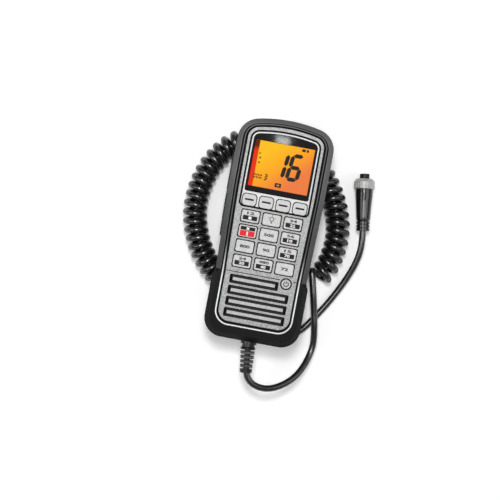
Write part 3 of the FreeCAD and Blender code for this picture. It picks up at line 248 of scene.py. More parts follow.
def winding_phases(line):
    """Angle that the winding has reached at each point of its middle line.

    The pitch widens where the line bends, so that the curls clear each other on the inside.
    """
    climb = math.cos(math.atan2(COIL_PITCH, 2 * math.pi * COIL_RADIUS))
    phases = [0.0]
    along = 0.0
    for number in range(1, len(line)):
        before = line[max(number - 2, 0)]
        here = line[number - 1]
        after = line[number]
        step = (after - here).length
        bend = 0.0
        if number > 1:
            bend = (here - before).angle(after - here) / step
        least = (CORD_DIAMETER + COIL_GAP) / climb / (1 - COIL_RADIUS * bend)
        pitch = max(COIL_PITCH, least) + COIL_FAN * math.exp(-along / COIL_FAN_REACH)
        phases.append(phases[-1] + 2 * math.pi * step / pitch)
        along += step
    return phases


def curl_points():
    """Control points of the curls: a left-handed winding about their middle line."""
    line = line_of([(x * MM, y * MM, COIL_LEVEL * MM) for x, y in COIL_LINE], resolution=48)
    line = [point / MM for point in line]
    phases = winding_phases(line)
    # The winding ends at its lowest point, a quarter turn past its last whole turn.
    quarters = round(phases[-1] / (math.pi / 2))
    quarters -= (quarters - 1) % 4
    total = quarters * math.pi / 2
    stretch = phases[-1] / total
    count = round(total / (2 * math.pi) * POINTS_PER_TURN)
    # The smooth curve runs a little inside its control points, so they stand further out.
    outward = COIL_RADIUS / (0.5 + 0.5 * math.cos(math.pi / POINTS_PER_TURN))
    found = []
    index = 0
    for number in range(count + 1):
        phase = total * number / count
        while index < len(phases) - 2 and phases[index + 1] < phase * stretch:
            index += 1
        share = (phase * stretch - phases[index]) / (phases[index + 1] - phases[index])
        middle = line[index].lerp(line[index + 1], share)
        heading = (line[index + 1] - line[index]).normalized()
        across = Vector((-heading.y, heading.x, 0))
        drop = Vector((0, 0, outward * math.sin(phase)))
        found.append(middle + across * outward * math.cos(phase) - drop)
    return found


def cord_points():
    """Tip of the strain relief, and control points of the whole cord from there to the plug."""
    lean = math.radians(BOOT_LEAN)
    axis = Vector((math.sin(lean), -math.cos(lean), 0))
    tip = BOOT_ROOT + axis * BOOT_LENGTH
    heading = math.radians(PLUG_HEADING)
    plug_axis = Vector((math.cos(heading), math.sin(heading), 0))
    curls = curl_points()
    rise = curls[0] + Vector((0, 0, LEAD_BEND))
    lead_end = rise + LEAD_HEADING * (LEAD_BEND + CORD_DIAMETER)
    trail = curls[-1]
    trail_heading = (curls[-1] - curls[-2]).normalized()
    trail_heading.z = 0
    points = [tip - axis * CORD_DIAMETER, tip + axis * BOOT_STRAIGHT]
    points += [Vector(place) for place in HANDSET_ROUTE]
    points += [lead_end + LEAD_HEADING * LEAD_STRAIGHT, lead_end]
    points += [rise + LEAD_HEADING * LEAD_EASE, rise + Vector((0, 0, -LEAD_EASE))]
    points += curls
    points += [trail + trail_heading * reach for reach in TRAIL_REACH]
    points += [Vector(place) for place in PLUG_ROUTE]
    points += [PLUG_ROOT - plug_axis * PLUG_STRAIGHT, PLUG_ROOT]
    return tip, points


class Wire:
    """A socket of a shader; arithmetic on it adds Math nodes."""

    def __init__(self, finish, socket):
        self.finish = finish
        self.socket = socket

    def _math(self, operation, first, second):
        return self.finish.node("Math", {0: first, 1: second}, operation=operation)

    def __add__(self, other):
        return self._math("ADD", self, other)

    __radd__ = __add__

    def __sub__(self, other):
        return self._math("SUBTRACT", self, other)

    def __rsub__(self, other):
        return self._math("SUBTRACT", other, self)

    def __mul__(self, other):
        return self._math("MULTIPLY", self, other)

    __rmul__ = __mul__

    def __truediv__(self, other):
        return self._math("DIVIDE", self, other)

    def __abs__(self):
        return self._math("ABSOLUTE", self, 0.0)

    def larger(self, other):
        """The larger of the two values."""
        return self._math("MAXIMUM", self, other)


class Finish:
    """A material and the nodes that make it."""

    def __init__(self, name, **values):
        self.material = bpy.data.materials.new(name)
        self.material.use_nodes = True
        self.tree = self.material.node_tree
        self.shader = next(node for node in self.tree.nodes if node.type == "BSDF_PRINCIPLED")
        self.set(**values)

    def feed(self, socket, value):
        """Connect a wire to a socket, or set its value."""
        if isinstance(value, Wire):
            self.tree.links.new(value.socket, socket)
        elif isinstance(value, tuple) and len(value) == 3 and len(socket.default_value) == 4:
            socket.default_value = (*value, 1.0)
        else:
            socket.default_value = value

    def set(self, **values):
        """Feed the sockets of the surface, named with underscores for spaces."""
        for key, value in values.items():
            self.feed(self.shader.inputs[key.replace("_", " ")], value)

    def node(self, kind, sockets, output=0, **settings):
        """New shader node with these inputs and settings; gives the wire of one of its outputs."""
        made = self.tree.nodes.new("ShaderNode" + kind)
        for key, value in settings.items():
            setattr(made, key, value)
        for key, value in sockets.items():
            self.feed(made.inputs[key], value)
        return Wire(self, made.outputs[output])

    def place(self):
        """The three object coordinates, in metres."""
        coordinates = self.node("TexCoord", {}, "Object")
        split = self.node("SeparateXYZ", {0: coordinates}).socket.node
        return [Wire(self, output) for output in split.outputs]

    def up(self):
        """How far the surface faces up, from -1 to 1."""
        normal = self.node("NewGeometry", {}, "Normal")
        return self.node("SeparateXYZ", {0: normal}, "Z")

    def noise(self, scale, detail=2.0, stretch=(1, 1, 1)):
        """Noise between 0 and 1; a larger scale makes it finer."""
        coordinates = self.node("TexCoord", {}, "Object")
        mapped = self.node("Mapping", {"Vector": coordinates, "Scale": stretch})
        return self.node("TexNoise", {"Vector": mapped, "Scale": scale, "Detail": detail}, "Fac")

    def ramp(self, factor, *stops):
        """Colour along a factor, from stops of a place and a colour each."""
        colour = self.node("ValToRGB", {"Fac": factor}, "Color")
        elements = colour.socket.node.color_ramp.elements
        for number, (place, tone) in enumerate(stops):
            if number >= len(elements):
                elements.new(place)
            elements[number].position = place
            elements[number].color = (*tone, 1.0)
        return colour

    def fade(self, value, low, high, at_low=0.0, at_high=1.0):
        """Smooth change from one number to another while the value goes from low to high."""
        return self.node("MapRange", {"Value": value, "From Min": low, "From Max": high, "To Min": at_low,
                                      "To Max": at_high}, interpolation_type="SMOOTHSTEP")

    def mix(self, factor, first, second):
        """The first colour where the factor is 0 and the second where it is 1."""
        return self.node("Mix", {0: factor, 6: first, 7: second}, 2, data_type="RGBA")

    def shade(self, colour, level):
        """The colour, darkened or lightened by a value about 1."""
        grey_level = self.node("CombineXYZ", {0: level, 1: level, 2: level})
        return self.node("VectorMath", {0: colour, 1: grey_level}, operation="MULTIPLY")

    def below(self, level):
        """Where the surface lies below a level, in metres."""
        return self.fade(self.place()[2], level - SOFT_EDGE, level, 1.0, 0.0)

    def recess(self, level):
        """Where painted shade goes: floors below a level, and steep walls from a groove's depth under it
        upwards.
        """
        z = self.place()[2]
        up = self.up()
        bottom = level - GROOVE_DEPTH
        floor = self.below(level) * self.fade(up, *FLOOR_FACING)
        wall = self.fade(z, bottom, bottom + 2 * SOFT_EDGE) * self.fade(up, *WALL_FACING, 1.0, 0.0)
        return floor.larger(wall)

    def paint_shade_black(self, mask, tone, roughness, metallic):
        """The tone, with painted shade, a dull black, where the mask is 1."""
        self.set(Base_Color=self.mix(mask, tone, GROOVE_SHADE_BLACK), Metallic=metallic - mask * metallic,
                 Roughness=roughness + mask * (1 - roughness))

    def bump(self, height, strength, distance):
        """Fine relief that doesn't change the shape."""
        self.set(Normal=self.node("Bump", {"Height": height, "Strength": strength, "Distance": distance}))


def grey(level):
    """Neutral colour."""
    return (level, level, level)


def grained(name, dark, light, grain=2600, roughness=0.45, metallic=0.0, groove=None):
    """Moulded or painted surface with a fine speckle, a slow change of tone and a little uneven gloss; below
    a given groove level it gets painted shade, a dull black.
    """
    finish = Finish(name, Metallic=metallic, Specular_IOR_Level=PAINT_GLOSS)
    speckle = finish.noise(grain, 3.0)
    slow = finish.noise(55, 3.0)
    tone = finish.ramp(speckle, (0.32, dark), (0.68, light))
    tone = finish.shade(tone, 0.95 + 0.1 * slow)
    finish.set(Base_Color=tone, Roughness=roughness - 0.06 + 0.12 * slow)
    if groove:
        finish.paint_shade_black(finish.below(groove), tone, roughness, metallic)
    finish.bump(speckle, 0.35, 0.00006)
    return finish.material


def case_paint():
    """Charcoal case paint; the lighter grey round the screen end, most along its sides and less at its tip,
    is a painted reflection, and the rubber end stays dark.
    """
    finish = Finish("case_paint", Metallic=0.25, Specular_IOR_Level=PAINT_GLOSS)
    y = finish.place()[1]
    speckle = finish.noise(3200, 2.0)
    slow = finish.noise(40, 3.0)
    along = finish.node("MapRange", {"Value": y, "From Min": CASE_SPAN[0], "From Max": CASE_SPAN[1]})
    # Painted reflection: the ramp gives the lighter grey round the screen end, strongest along its sides.
    tone = finish.ramp(along, (0.0, (0.010, 0.010, 0.011)), (0.2, (0.030, 0.031, 0.032)),
                       (0.42, (0.048, 0.049, 0.050)), (0.7, (0.100, 0.102, 0.104)),
                       (0.93, (0.072, 0.073, 0.074)), (1.0, (0.032, 0.033, 0.034)))
    tone = finish.shade(tone, 0.92 + 0.1 * slow + 0.06 * speckle)
    # Painted shade: the deck under the face and the steep walls round its openings are dull black.
    finish.paint_shade_black(finish.recess(BAND_GROOVE), tone, 0.36, 0.25)
    finish.bump(speckle, 0.25, 0.00004)
    return finish.material


def plate_paint():
    """Silver speckled plate; painted shade makes its grooves black and darkens a thin engraved line between
    the keys and the grille.
    """
    finish = Finish("plate_silver", Specular_IOR_Level=PAINT_GLOSS)
    x, y, _ = finish.place()
    speckle = finish.noise(2300, 3.0)
    slow = finish.noise(55, 3.0)
    tone = finish.ramp(speckle, (0.32, (0.09, 0.092, 0.091)), (0.68, (0.48, 0.488, 0.484)))
    tone = finish.shade(tone, 0.92 + 0.16 * slow)
    # Painted shade along the engraved line, which stops short of the power key.
    line = finish.fade(abs(y - PLATE_LINE * MM), *LINE_EDGE, 1.0, 0.0)
    clear = finish.fade(abs(x - POWER_PLACE[0] * MM), *LINE_CLEAR)
    finish.bump(speckle, 0.35, 0.00006)
    finish.paint_shade_black(finish.below(PLATE_GROOVE).larger(line * clear), tone, 0.45, 0.2)
    return finish.material


def trim_paint():
    """Narrow ring: dark round the screen end, silver round the lower end, with painted shade, a dull black,
    in its groove.
    """
    finish = Finish("trim_paint", Metallic=0.3, Specular_IOR_Level=PAINT_GLOSS)
    y = finish.place()[1]
    slow = finish.noise(70, 2.0)
    share = finish.fade(y, *TRIM_CHANGE)
    tone = finish.mix(share, (0.60, 0.605, 0.61), (0.025, 0.026, 0.027))
    finish.paint_shade_black(finish.below(TRIM_GROOVE), finish.shade(tone, 0.9 + 0.2 * slow), 0.34, 0.3)
    finish.bump(finish.noise(2800), 0.2, 0.00004)
    return finish.material


def rubber(name, colour, roughness, grain=1800, depth=0.00005, gloss=0.3):
    """Black rubber with a fine grain."""
    finish = Finish(name, Specular_IOR_Level=gloss)
    slow = finish.noise(60, 4.0)
    fine = finish.noise(grain, 3.0)
    finish.set(Base_Color=finish.shade(colour, 0.75 + 0.5 * slow), Roughness=roughness - 0.08 + 0.16 * slow)
    finish.bump(fine, 0.3, depth)
    return finish.material


def window_glass():
    """Dark glass with a printed black mask that leaves the display free."""
    finish = Finish("window_glass", IOR=1.45, Specular_IOR_Level=0.025)
    x, y, _ = finish.place()
    aside = finish.fade(abs(x), *OPENING_SIDE)
    beyond = finish.fade(abs(y - DISPLAY_MIDDLE * MM), *OPENING_END)
    smudge = finish.noise(90, 3.0)
    finish.set(Base_Color=finish.shade((0.003, 0.003, 0.0035), 0.8 + 0.4 * smudge),
               Alpha=aside.larger(beyond), Roughness=0.03 + 0.03 * smudge)
    return finish.material


def display_glow():
    """Lit amber display: yellower above left, redder below right, with a red strip on the left."""
    finish = Finish("display_glow", Roughness=0.7, Specular_IOR_Level=0.05)
    x, y, _ = finish.place()
    slant = (x * 0.8 - (y - DISPLAY_MIDDLE * MM) * 0.9) / GLOW_SPREAD + 0.5
    cloud = finish.noise(60, 2.0)
    tone = finish.ramp(slant + 0.16 * (cloud - 0.5), (0.0, (1.0, 0.53, 0.018)),
                       (0.45, (1.0, 0.40, 0.018)), (0.8, (0.93, 0.26, 0.04)), (1.0, (0.87, 0.21, 0.06)))
    strip = finish.fade(x, *STRIP_EDGE, 1.0, 0.0)
    red = finish.mix(finish.fade(y, *STRIP_DARKENS), (0.80, 0.035, 0.007), (0.12, 0.016, 0.004))
    finish.set(Base_Color=(0.01, 0.006, 0.002), Emission_Color=finish.mix(strip, tone, red),
               Emission_Strength=0.98)
    return finish.material


def brushed(name, colour, roughness=0.32, metallic=1.0):
    """Metal with fine streaks that run up and down."""
    finish = Finish(name, Metallic=metallic)
    streaks = finish.noise(600, 3.0, (1, 1, 30))
    slow = finish.noise(90, 3.0)
    finish.set(Base_Color=finish.shade(colour, 0.82 + 0.36 * slow),
               Roughness=roughness - 0.08 + 0.16 * streaks)
    finish.bump(streaks, 0.15, 0.00005)
    return finish.material


def speaker_cloth():
    """Open black cloth: threads in two directions."""
    finish = Finish("speaker_cloth", Roughness=0.8)
    threads = []
    for place in finish.place()[:2]:
        wave = finish.node("Math", {0: place * (2 * math.pi / THREAD_SPACING)}, operation="SINE")
        threads.append(abs(wave))
    height = threads[0].larger(threads[1])
    finish.set(Base_Color=finish.shade(grey(0.02), 0.4 + 0.9 * height))
    finish.bump(height, 0.5, 0.0002)
    return finish.material


def flat_ink(name, colour):
    """Printed ink with slightly uneven cover."""
    finish = Finish(name, Specular_IOR_Level=0.1, Roughness=0.5)
    cover = finish.noise(1500, 3.0)
    finish.set(Base_Color=finish.shade(colour, 0.85 + 0.3 * cover))
    return finish.material


def plug_rubber():
    """Black moulded rubber with a painted reflection: a lighter strip along its facet, between the two
    grooves.
    """
    finish = Finish("plug_rubber", Specular_IOR_Level=0.6)
    x, y, _ = finish.place()
    x = x - PLUG_ROOT.x * MM
    y = y - PLUG_ROOT.y * MM
    heading = math.radians(PLUG_HEADING)
    along = x * math.cos(heading) + y * math.sin(heading)
    aside = y * math.cos(heading) - x * math.sin(heading)
    # Painted reflection: a lighter strip along the plug's facet.
    painted_facet_reflection = finish.fade(abs(aside), *REFLECTION_SIDE, 1.0, 0.0) * finish.fade(along, *REFLECTION_START)
    painted_facet_reflection = painted_facet_reflection * finish.fade(along, *REFLECTION_END, 1.0, 0.0)
    slow = finish.noise(70, 3.0)
    tone = finish.mix(painted_facet_reflection * 0.6, (0.005, 0.005, 0.006), (0.22, 0.222, 0.225))
    finish.set(Base_Color=finish.shade(tone, 0.75 + 0.5 * slow), Roughness=0.16 + 0.12 * slow)
    finish.bump(finish.noise(1800, 3.0), 0.15, 0.00003)
    return finish.material


def give(material, *names):
    """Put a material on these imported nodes."""
    for name in names:
        for slot in NODES[name].material_slots:
            slot.material = material


def dress_nodes():
    """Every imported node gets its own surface."""
    give(case_paint(), "front_shell", "rear_shell")
    give(rubber("bumper_rubber", (0.006, 0.006, 0.0065), 0.5, gloss=0.07), "lower_bumper")
    give(rubber("boot_rubber", (0.004, 0.004, 0.0045), 0.3, gloss=0.5), "cord_boot")
    give(rubber("side_key_rubber", grey(0.007), 0.5), "talk_key", "side_key")
    give(rubber("seal_rubber", grey(0.02), 0.6), "case_seal")
    give(plate_paint(), "face_plate")
    give(trim_paint(), "face_trim_ring")
    # Painted shade makes the surround, keys, power key and grille dull black below their groove levels, in
    # the gaps round them.
    give(grained("surround_silver", (0.22, 0.223, 0.222), (0.56, 0.567, 0.56), metallic=0.35,
                 groove=TRIM_GROOVE), "screen_surround")
    give(window_glass(), "display_window")
    give(display_glow(), "lcd_panel")
    give(grained("backlight_white", (0.7, 0.7, 0.68), (0.8, 0.8, 0.78), grain=900), "lcd_backlight",
         "cord_clamp")
    keys = [name for name in NODES if name.startswith(("key_row", "soft_key"))]
    give(grained("key_silicone", (0.42, 0.425, 0.42), (0.72, 0.725, 0.715), grain=2000, roughness=0.55,
                 groove=KEY_GROOVE), *keys)
    give(grained("power_key_silicone", (0.34, 0.345, 0.34), (0.62, 0.625, 0.615), grain=2000, roughness=0.5,
                 groove=POWER_GROOVE), "power_button")
    give(grained("grille_plastic", (0.28, 0.285, 0.28), (0.60, 0.605, 0.60), grain=2000,
                 groove=GRILLE_GROOVE), "speaker_grille")
    give(speaker_cloth(), "speaker_mesh")
    give(grained("membrane_silicone", grey(0.006), grey(0.012), grain=900, roughness=0.6),
         "keypad_membrane")
    give(grained("board_lacquer", (0.01, 0.09, 0.03), (0.02, 0.14, 0.05), grain=500, roughness=0.3),
         "main_board")
    give(grained("chip_plastic", grey(0.015), grey(0.03), grain=1500), "board_chips", "talk_switch",
         "side_switch")
    give(brushed("speaker_steel", grey(0.5)), "speaker_basket", "microphone")
    give(grained("cone_film", grey(0.02), grey(0.05), grain=700), "speaker_cone")
    give(grained("magnet_ferrite", (0.04, 0.04, 0.042), (0.08, 0.08, 0.082), grain=900), "speaker_magnet")
    give(brushed("screw_steel", grey(0.6), 0.28), "case_screws", "hanger_screw")
    give(grained("stud_plastic", grey(0.015), grey(0.035), grain=1500), "hanger_stud")
    give(plug_rubber(), "plug_body")
    give(brushed("ring_metal", (0.42, 0.42, 0.415), 0.5, metallic=0.7), "plug_coupling_ring")
    give(grained("insert_plastic", grey(0.003), grey(0.008), grain=1500), "plug_insert")
    give(brushed("pin_plating", (0.85, 0.62, 0.26), 0.25), "plug_pins")


def make_cord():
    """The whole cord in one piece, from the strain relief to the plug."""
    tip, points = cord_points()
    curve = nurbs_curve("cord", [point * MM for point in points], resolution=4)
    curve.bevel_depth = CORD_DIAMETER / 2 * MM
    curve.bevel_resolution = 5
    curve.use_fill_caps = True
    cord = add_object("cord", curve)
    jacket = rubber("cord_jacket", (0.005, 0.005, 0.0055), 0.25, grain=1200, depth=0.00002, gloss=1.0)
    cord.data.materials.append(jacket)
    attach(cord, "handset")
    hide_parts("cord_tail_handset", "cord_coil", "cord_tail_plug")
    tuple(tip * MM)


def prism(build, outline, low, high, ink):
    """Flat shape with a little thickness."""
    lower = [build.verts.new((x * MM, y * MM, low * MM)) for x, y in outline]
    upper = [build.verts.new((x * MM, y * MM, high * MM)) for x, y in outline]
    faces = [build.faces.new(upper), build.faces.new(lower[::-1])]
    for number in range(len(outline)):
        after = (number + 1) % len(outline)
        faces.append(build.faces.new((lower[number], lower[after], upper[after], upper[number])))
    for face in faces:
        face.material_index = ink


def bar(x, y, width, length, corner=0.0):
    """Outline of a bar centred on a place, with square or rounded corners."""
    if corner == 0.0:
        half, tall = width / 2, length / 2
        return [(x - half, y - tall), (x + half, y - tall), (x + half, y + tall), (x - half, y + tall)]
    outline = []
    for side, end, start in ((1, -1, 270), (1, 1, 0), (-1, 1, 90), (-1, -1, 180)):
        for number in range(CORNER_STEPS + 1):
            angle = math.radians(start + 90 * number / CORNER_STEPS)
            outline.append((x + side * (width / 2 - corner) + corner * math.cos(angle),
                            y + end * (length / 2 - corner) + corner * math.sin(angle)))
    return outline


def arc_band(x, y, radius, width, start, end, count):
    """Outlines of short quads along a part of a ring, angles in degrees."""
    quads = []
    for number in range(count):
        first = math.radians(start + (end - start) * number / count)
        second = math.radians(start + (end - start) * (number + 1) / count)
        inner, outer = radius - width / 2, radius + width / 2
        quads.append([(x + inner * math.cos(first), y + inner * math.sin(first)),
                      (x + outer * math.cos(first), y + outer * math.sin(first)),
                      (x + outer * math.cos(second), y + outer * math.sin(second)),
                      (x + inner * math.cos(second), y + inner * math.sin(second))])
    return quads


def numerals(build, text, x, y, height, width, low, ink):
    """Plain numerals, centred on a place, with a little thickness."""
    font = bpy.data.curves.new("numerals", "FONT")
    font.body = text
    font.size = 1.0
    font.extrude = 0.5
    font.offset = 0.035
    font.resolution_u = 3
    holder = add_object("numerals", font)
    graph = bpy.context.evaluated_depsgraph_get()
    mesh = bpy.data.meshes.new_from_object(holder.evaluated_get(graph))
    bpy.data.objects.remove(holder)
    xs = [vertex.co.x for vertex in mesh.vertices]
    ys = [vertex.co.y for vertex in mesh.vertices]
    wide = width / (max(xs) - min(xs))
    tall = height / (max(ys) - min(ys))
    mesh.transform(Matrix.Translation(Vector((x, y, low + INK_THICKNESS / 2)) * MM)
                   @ Matrix.Diagonal((wide * MM, tall * MM, INK_THICKNESS * MM, 1))
                   @ Matrix.Translation((-(max(xs) + min(xs)) / 2, -(max(ys) + min(ys)) / 2, 0)))
    start = len(build.faces)
    build.from_mesh(mesh)
    build.faces.ensure_lookup_table()
    for face in build.faces[start:]:
        face.material_index = ink
    bpy.data.meshes.remove(mesh)


def finish_piece(name, build, body, materials):
    """New object from a built mesh and its body."""
    mesh = bpy.data.meshes.new(name)
    build.to_mesh(mesh)
    build.free()
    piece = add_object(name, mesh)
    for material in materials:
        mesh.materials.append(material)
    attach(piece, body)


def print_lamp_mark(build, x, y, low, top):
    """Small lamp: a round bulb over a short base, with three rays."""
    bulb = Vector((x, y + 0.8))
    for quad in arc_band(bulb.x, bulb.y, 1.45, 0.5, 0, 360, 20):
        prism(build, quad, low, top, GREY)
    for angle in (20, 90, 160):
        turn = math.radians(angle)
        across = Vector((-math.sin(turn), math.cos(turn))) * 0.18
        near = Vector((math.cos(turn), math.sin(turn))) * 2.1
        far = near * 1.35
        corners = (near - across, far - across, far + across, near + across)
        prism(build, [bulb + corner for corner in corners], low, top, GREY)
    prism(build, bar(x, y - 1.35, 1.5, 0.5), low, top, GREY)
    prism(build, bar(x, y - 2.1, 1.1, 0.45), low, top, GREY)


def print_key(build, x, y, kind, label, mark):
    """Print of one key, centred on its place."""
    low = KEY_TOP - INK_SUNK
    top = KEY_TOP + INK_PROUD
    if kind == "lamp":
        print_lamp_mark(build, x, y, low, top)
    elif kind == "red":
        prism(build, bar(x, y + 2.0, 10.6, 2.6, 0.3), low, top, DARK)
        prism(build, bar(x, y - 1.6, 10.6, 4.0, 0.3), low, top, RED)
        prism(build, bar(x, y + 2.0, 1.9, 1.7), top, top + INK_PROUD, WHITE)
        prism(build, bar(x, y - 1.6, 1.1, 2.8), top, top + INK_PROUD, WHITE)
    elif kind == "bar":
        numerals(build, label, x, y + 2.15, 2.0, 2.1 * len(label) + 1.2, low, GREY)
        prism(build, bar(x, y - 1.25, 10.4, 3.2, 0.3), low, top, DARK)
        numerals(build, mark, x, y - 1.25, 2.1, 1.6 * len(mark) + 0.6, top, WHITE)
    else:
        numerals(build, label, x, y, 2.2, 2.0 * len(label) + 1.2, low, DARK)


def print_keys():
    """Generic numerals, bars and marks on the keys."""
    inks = [flat_ink("dark_ink", grey(0.012)), flat_ink("grey_ink", grey(0.035)),
            flat_ink("white_ink", (0.80, 0.80, 0.79)), flat_ink("red_ink", (0.72, 0.02, 0.03))]
    for row, y in KEY_ROWS:
        for column, x in COLUMNS:
            place = row + "_" + column
            build = bmesh.new()
            print_key(build, x, y, *KEY_PRINTS[place])
            finish_piece("print_key_" + place, build, "key_" + place + "_body", inks)
    for number in range(4):
        name = "soft_key_%d" % (number + 1)
        build = bmesh.new()
        x = (number - 1.5) * SOFT_PITCH
        prism(build, bar(x, SOFT_ROW + 0.2, 6.5, 1.3, 0.3), SOFT_TOP - INK_SUNK, SOFT_TOP + INK_PROUD, DARK)
        finish_piece("print_" + name, build, name + "_body", inks)
    build = bmesh.new()
    x, y = POWER_PLACE
    for outline in arc_band(x, y, 1.7, 0.6, -235, 55, 18) + [bar(x, y + 1.2, 0.6, 2.0)]:
        prism(build, outline, KEY_TOP - INK_SUNK, KEY_TOP + INK_PROUD, DARK)
    finish_piece("print_power_button", build, "power_button_body", inks)


def segment_outline(letter, width, height, thick):
    """Outline of one stroke of a seven-stroke numeral whose lower left corner is at the origin."""
    gap = 0.12
    half = height / 2
    edge = thick / 2
    if letter in "agd":
        level = {"a": height - edge, "g": half, "d": edge}[letter]
        left, right = edge + gap, width - edge - gap
        return [(left, level), (left + edge, level - edge), (right - edge, level - edge), (right, level),
                (right - edge, level + edge), (left + edge, level + edge)]
    place = width - edge if letter in "bc" else edge
    low, high = (half, height - edge) if letter in "bf" else (edge, half)
    low, high = low + gap, high - gap
    return [(place, low), (place + edge, low + edge), (place + edge, high - edge), (place, high),
            (place - edge, high - edge), (place - edge, low + edge)]


def baked(holder, group, values):
    """Mesh that a Geometry Nodes group makes from these values; the object that held it goes."""
    modifier = holder.modifiers.new("nodes", "NODES")
    modifier.node_group = group
    for item in group.interface.items_tree:
        if item.in_out == "INPUT" and item.name in values:
            modifier[item.identifier] = values[item.name]
    graph = bpy.context.evaluated_depsgraph_get()
    mesh = bpy.data.meshes.new_from_object(holder.evaluated_get(graph))
    bpy.data.objects.remove(holder)
    return mesh


def new_group(name, inputs):
    """Empty Geometry Nodes group with one geometry in and out and the named inputs."""
    group = bpy.data.node_groups.new(name, "GeometryNodeTree")
    group.interface.new_socket("Geometry", in_out="OUTPUT", socket_type="NodeSocketGeometry")
    group.interface.new_socket("Geometry", in_out="INPUT", socket_type="NodeSocketGeometry")
    for label, kind in inputs:
        group.interface.new_socket(label, in_out="INPUT", socket_type="NodeSocket" + kind)
    return group, group.nodes.new("NodeGroupInput").outputs, group.nodes.new("NodeGroupOutput").inputs


def add_node(group, kind, links):
    """Node of a Geometry Nodes group; sockets are fed by other sockets or by plain values."""
    made = group.nodes.new("GeometryNode" + kind)
    for name, value in links.items():
        if isinstance(value, bpy.types.NodeSocket):
            group.links.new(value, made.inputs[name])
        else:
            made.inputs[name].default_value = value
    return made.outputs


def close_group(group, given, out, placed):
    """Give out the placed copies as one mesh with its finish."""
    solid = add_node(group, "RealizeInstances", {"Geometry": placed["Instances"]})
    inked = add_node(group, "SetMaterial", {"Geometry": solid["Geometry"], "Material": given["Finish"]})
    group.links.new(inked["Geometry"], out["Geometry"])


def grip_ribs(material):
    """Row of low rounded ribs along the talk key's outer face."""
    turn = math.atan2(SIDE_TAPER, SIDE_LENGTH)
    inputs = (("Count", "Int"), ("Spacing", "Vector"), ("Start", "Vector"), ("Rib Size", "Vector"),
              ("Turn", "Vector"), ("Finish", "Material"))
    group, given, out = new_group("rib_row", inputs)
    row = add_node(group, "MeshLine", {"Count": given["Count"], "Start Location": given["Start"],
                                       "Offset": given["Spacing"]})
    rib = add_node(group, "MeshUVSphere", {"Segments": 16, "Rings": 10, "Radius": 1.0})
    placed = add_node(group, "InstanceOnPoints", {"Points": row["Mesh"], "Instance": rib["Mesh"],
                                                  "Rotation": given["Turn"], "Scale": given["Rib Size"]})
    close_group(group, given, out, placed)
    along = Vector((-math.sin(turn), math.cos(turn), 0))
    outward = Vector((-math.cos(turn), -math.sin(turn), 0))
    pitch = 2.6 * MM
    count = 9
    reach = 1.1 * MM
    middle = TALK_KEY_MIDDLE * MM + outward * reach
    start = middle - along * pitch * (count - 1) / 2
    values = {"Count": count, "Spacing": along * pitch, "Start": start, "Turn": Vector((0, 0, turn)),
              "Rib Size": Vector((0.3, 0.7, 1.9)) * MM, "Finish": material}
    mesh = baked(add_object("ribs", bpy.data.meshes.new("ribs")), group, values)
    piece = add_object("talk_key_ribs", mesh)
    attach(piece, "talk_key_body")


def screw_crosses(material):
    """Cross drives of the case screws and of the hanger's screw, seen from the back."""
    inputs = (("Length", "Float"), ("Width", "Float"), ("Height", "Float"), ("Finish", "Material"))
    group, given, out = new_group("screw_cross", inputs)
    bars = []
    for first, second in (("Length", "Width"), ("Width", "Length")):
        joined = group.nodes.new("ShaderNodeCombineXYZ")
        group.links.new(given[first], joined.inputs[0])
        group.links.new(given[second], joined.inputs[1])
        group.links.new(given["Height"], joined.inputs[2])
        bars.append(add_node(group, "MeshCube", {"Size": joined.outputs[0]})["Mesh"])
    cross = group.nodes.new("GeometryNodeJoinGeometry")
    for arm in bars:
        group.links.new(arm, cross.inputs[0])
    placed = add_node(group, "InstanceOnPoints", {"Points": given["Geometry"],
                                                  "Instance": cross.outputs[0]})
    close_group(group, given, out, placed)
    places = [(side * across, along, SCREW_LEVEL) for across, along in CASE_SCREWS for side in (-1, 1)]
    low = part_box("hanger_screw")[0]
    places.append((0, HANGER_PLACE, low[2] / MM))
    points = bpy.data.meshes.new("screw_places")
    points.from_pydata([Vector(place) * MM for place in places], [], [])
    mesh = baked(add_object("crosses", points), group,
                 {"Length": 2.9 * MM, "Width": 0.8 * MM, "Height": 0.06 * MM, "Finish": material})
    piece = add_object("screw_crosses", mesh)
    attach(piece, "handset")


def show_numeral(build, numeral, x, y, width, height, thick, slant, ink):
    """Numeral of strokes on the display, from its lower left corner."""
    for letter in SEGMENTS[numeral]:
        stroke = segment_outline(letter, width, height, thick)
        outline = [(x + px + slant * py, y + py) for px, py in stroke]
        prism(build, outline, MARKS_LEVEL, MARKS_LEVEL + MARKS_THICKNESS, ink)


def show_display():
    """What the display shows: a large channel number and a few small marks."""
    inks = [flat_ink("display_ink", (0.010, 0.008, 0.006)), flat_ink("display_brown", (0.05, 0.014, 0.004)),
            flat_ink("display_amber", (0.55, 0.22, 0.03))]
    build = bmesh.new()
    low = MARKS_LEVEL
    top = low + MARKS_THICKNESS
    for numeral in DISPLAY_NUMERALS:
        show_numeral(build, *numeral)
    prism(build, bar(-0.2, 33.6, 4.6, 3.0, 0.3), low, top, BLACK)
    prism(build, bar(-0.2, 33.6, 2.0, 1.2, 0.2), top, top + INK_PROUD, AMBER)
    prism(build, bar(13.8, 61.7, 2.6, 1.9, 0.2), low, top, BLACK)
    prism(build, bar(16.6, 61.7, 1.5, 1.9, 0.2), low, top, BLACK)
    prism(build, [(-17.6, 53.2), (-16.1, 55.0), (-17.6, 54.6)], low, top, BROWN)
    prism(build, [(-17.4, 50.6), (-15.6, 50.6), (-16.4, 52.2)], low, top, BROWN)
    prism(build, bar(-16.6, 47.6, 1.4, 1.0, 0.2), low, top, BROWN)
    finish_piece("display_marks", build, "handset", inks)


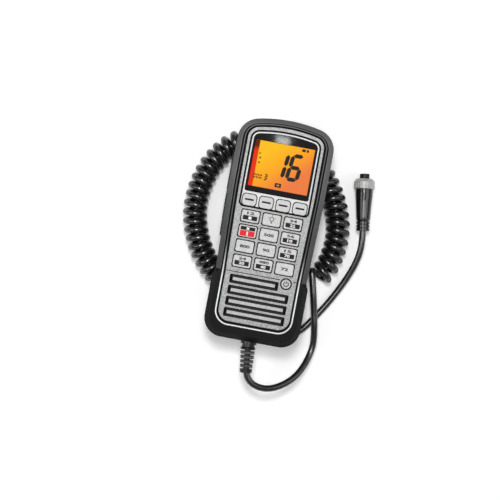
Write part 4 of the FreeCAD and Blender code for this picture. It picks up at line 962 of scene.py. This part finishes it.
def add_lamp(name, shape, size, power, offset, height):
    """Area lamp beside and above the middle of the picture, aimed at it."""
    lamp = bpy.data.lights.new(name, "AREA")
    lamp.shape = shape
    lamp.size = size[0]
    if shape == "RECTANGLE":
        lamp.size_y = size[1]
    lamp.energy = power
    holder = add_object(name, lamp)
    holder.location = LAMP_AIM + offset + Vector((0, 0, height))
    holder.rotation_euler = (LAMP_AIM - holder.location).to_track_quat("-Z", "Y").to_euler()


def set_light():
    """Even sky and five lamps: two overhead, one at each side, and a small one for the glass."""
    scene = bpy.context.scene
    scene.view_settings.view_transform = "Standard"
    world = bpy.data.worlds.new("sky")
    scene.world = world
    world.use_nodes = True
    sky = world.node_tree.nodes["Background"]
    sky.inputs["Color"].default_value = (1, 1, 1, 1)
    sky.inputs["Strength"].default_value = 0.25
    up = Vector((-math.sin(CAMERA_TURN), math.cos(CAMERA_TURN), 0))
    aside = Vector((up.y, -up.x, 0))
    glint = Vector((0.0195, 0.180, 0))
    add_lamp("main_lamp", "DISK", (0.26, 0.26), power=7.0, offset=up * 0.33, height=1.25)
    add_lamp("top_lamp", "DISK", (0.42, 0.42), power=3.4, offset=up * 0.04, height=1.3)
    add_lamp("left_lamp", "RECTANGLE", (0.16, 0.5), power=1.2, offset=aside * -0.6, height=0.6)
    add_lamp("right_lamp", "RECTANGLE", (0.16, 0.5), power=0.9, offset=aside * 0.6, height=0.6)
    add_lamp("small_lamp", "RECTANGLE", (0.021, 0.011), power=0.30, offset=glint, height=1.25)


def lay_floor():
    """White floor that glows more away from the object, so that it ends in plain white."""
    build = bmesh.new()
    bmesh.ops.create_grid(build, x_segments=1, y_segments=1, size=FLOOR_SIZE)
    bmesh.ops.translate(build, verts=build.verts, vec=(0, 0, -FLOOR_DROP))
    mesh = bpy.data.meshes.new("floor")
    build.to_mesh(mesh)
    build.free()
    floor = add_object("floor", mesh)
    finish = Finish("floor", Base_Color=grey(0.95), Roughness=0.9)
    rays = finish.node("LightPath", {}).socket.node.outputs
    camera, glossy, through = [Wire(finish, rays[name]) for name in
                               ("Is Camera Ray", "Is Glossy Ray", "Is Transmission Ray")]
    seen = camera.larger(glossy).larger(through)
    x, y, _ = finish.place()
    outward = finish.fade(x * x + y * y, *GLOW_SPAN, *GLOW)
    finish.set(Emission_Color=finish.shade(grey(1), seen * outward), Emission_Strength=1.0)
    mesh.materials.append(finish.material)


set_camera()
make_cord()
set_light()
lay_floor()
dress_nodes()
print_keys()
show_display()
grip_ribs(rubber("rib_rubber", grey(0.007), 0.5))
screw_crosses(flat_ink("recess_shadow", grey(0.01)))
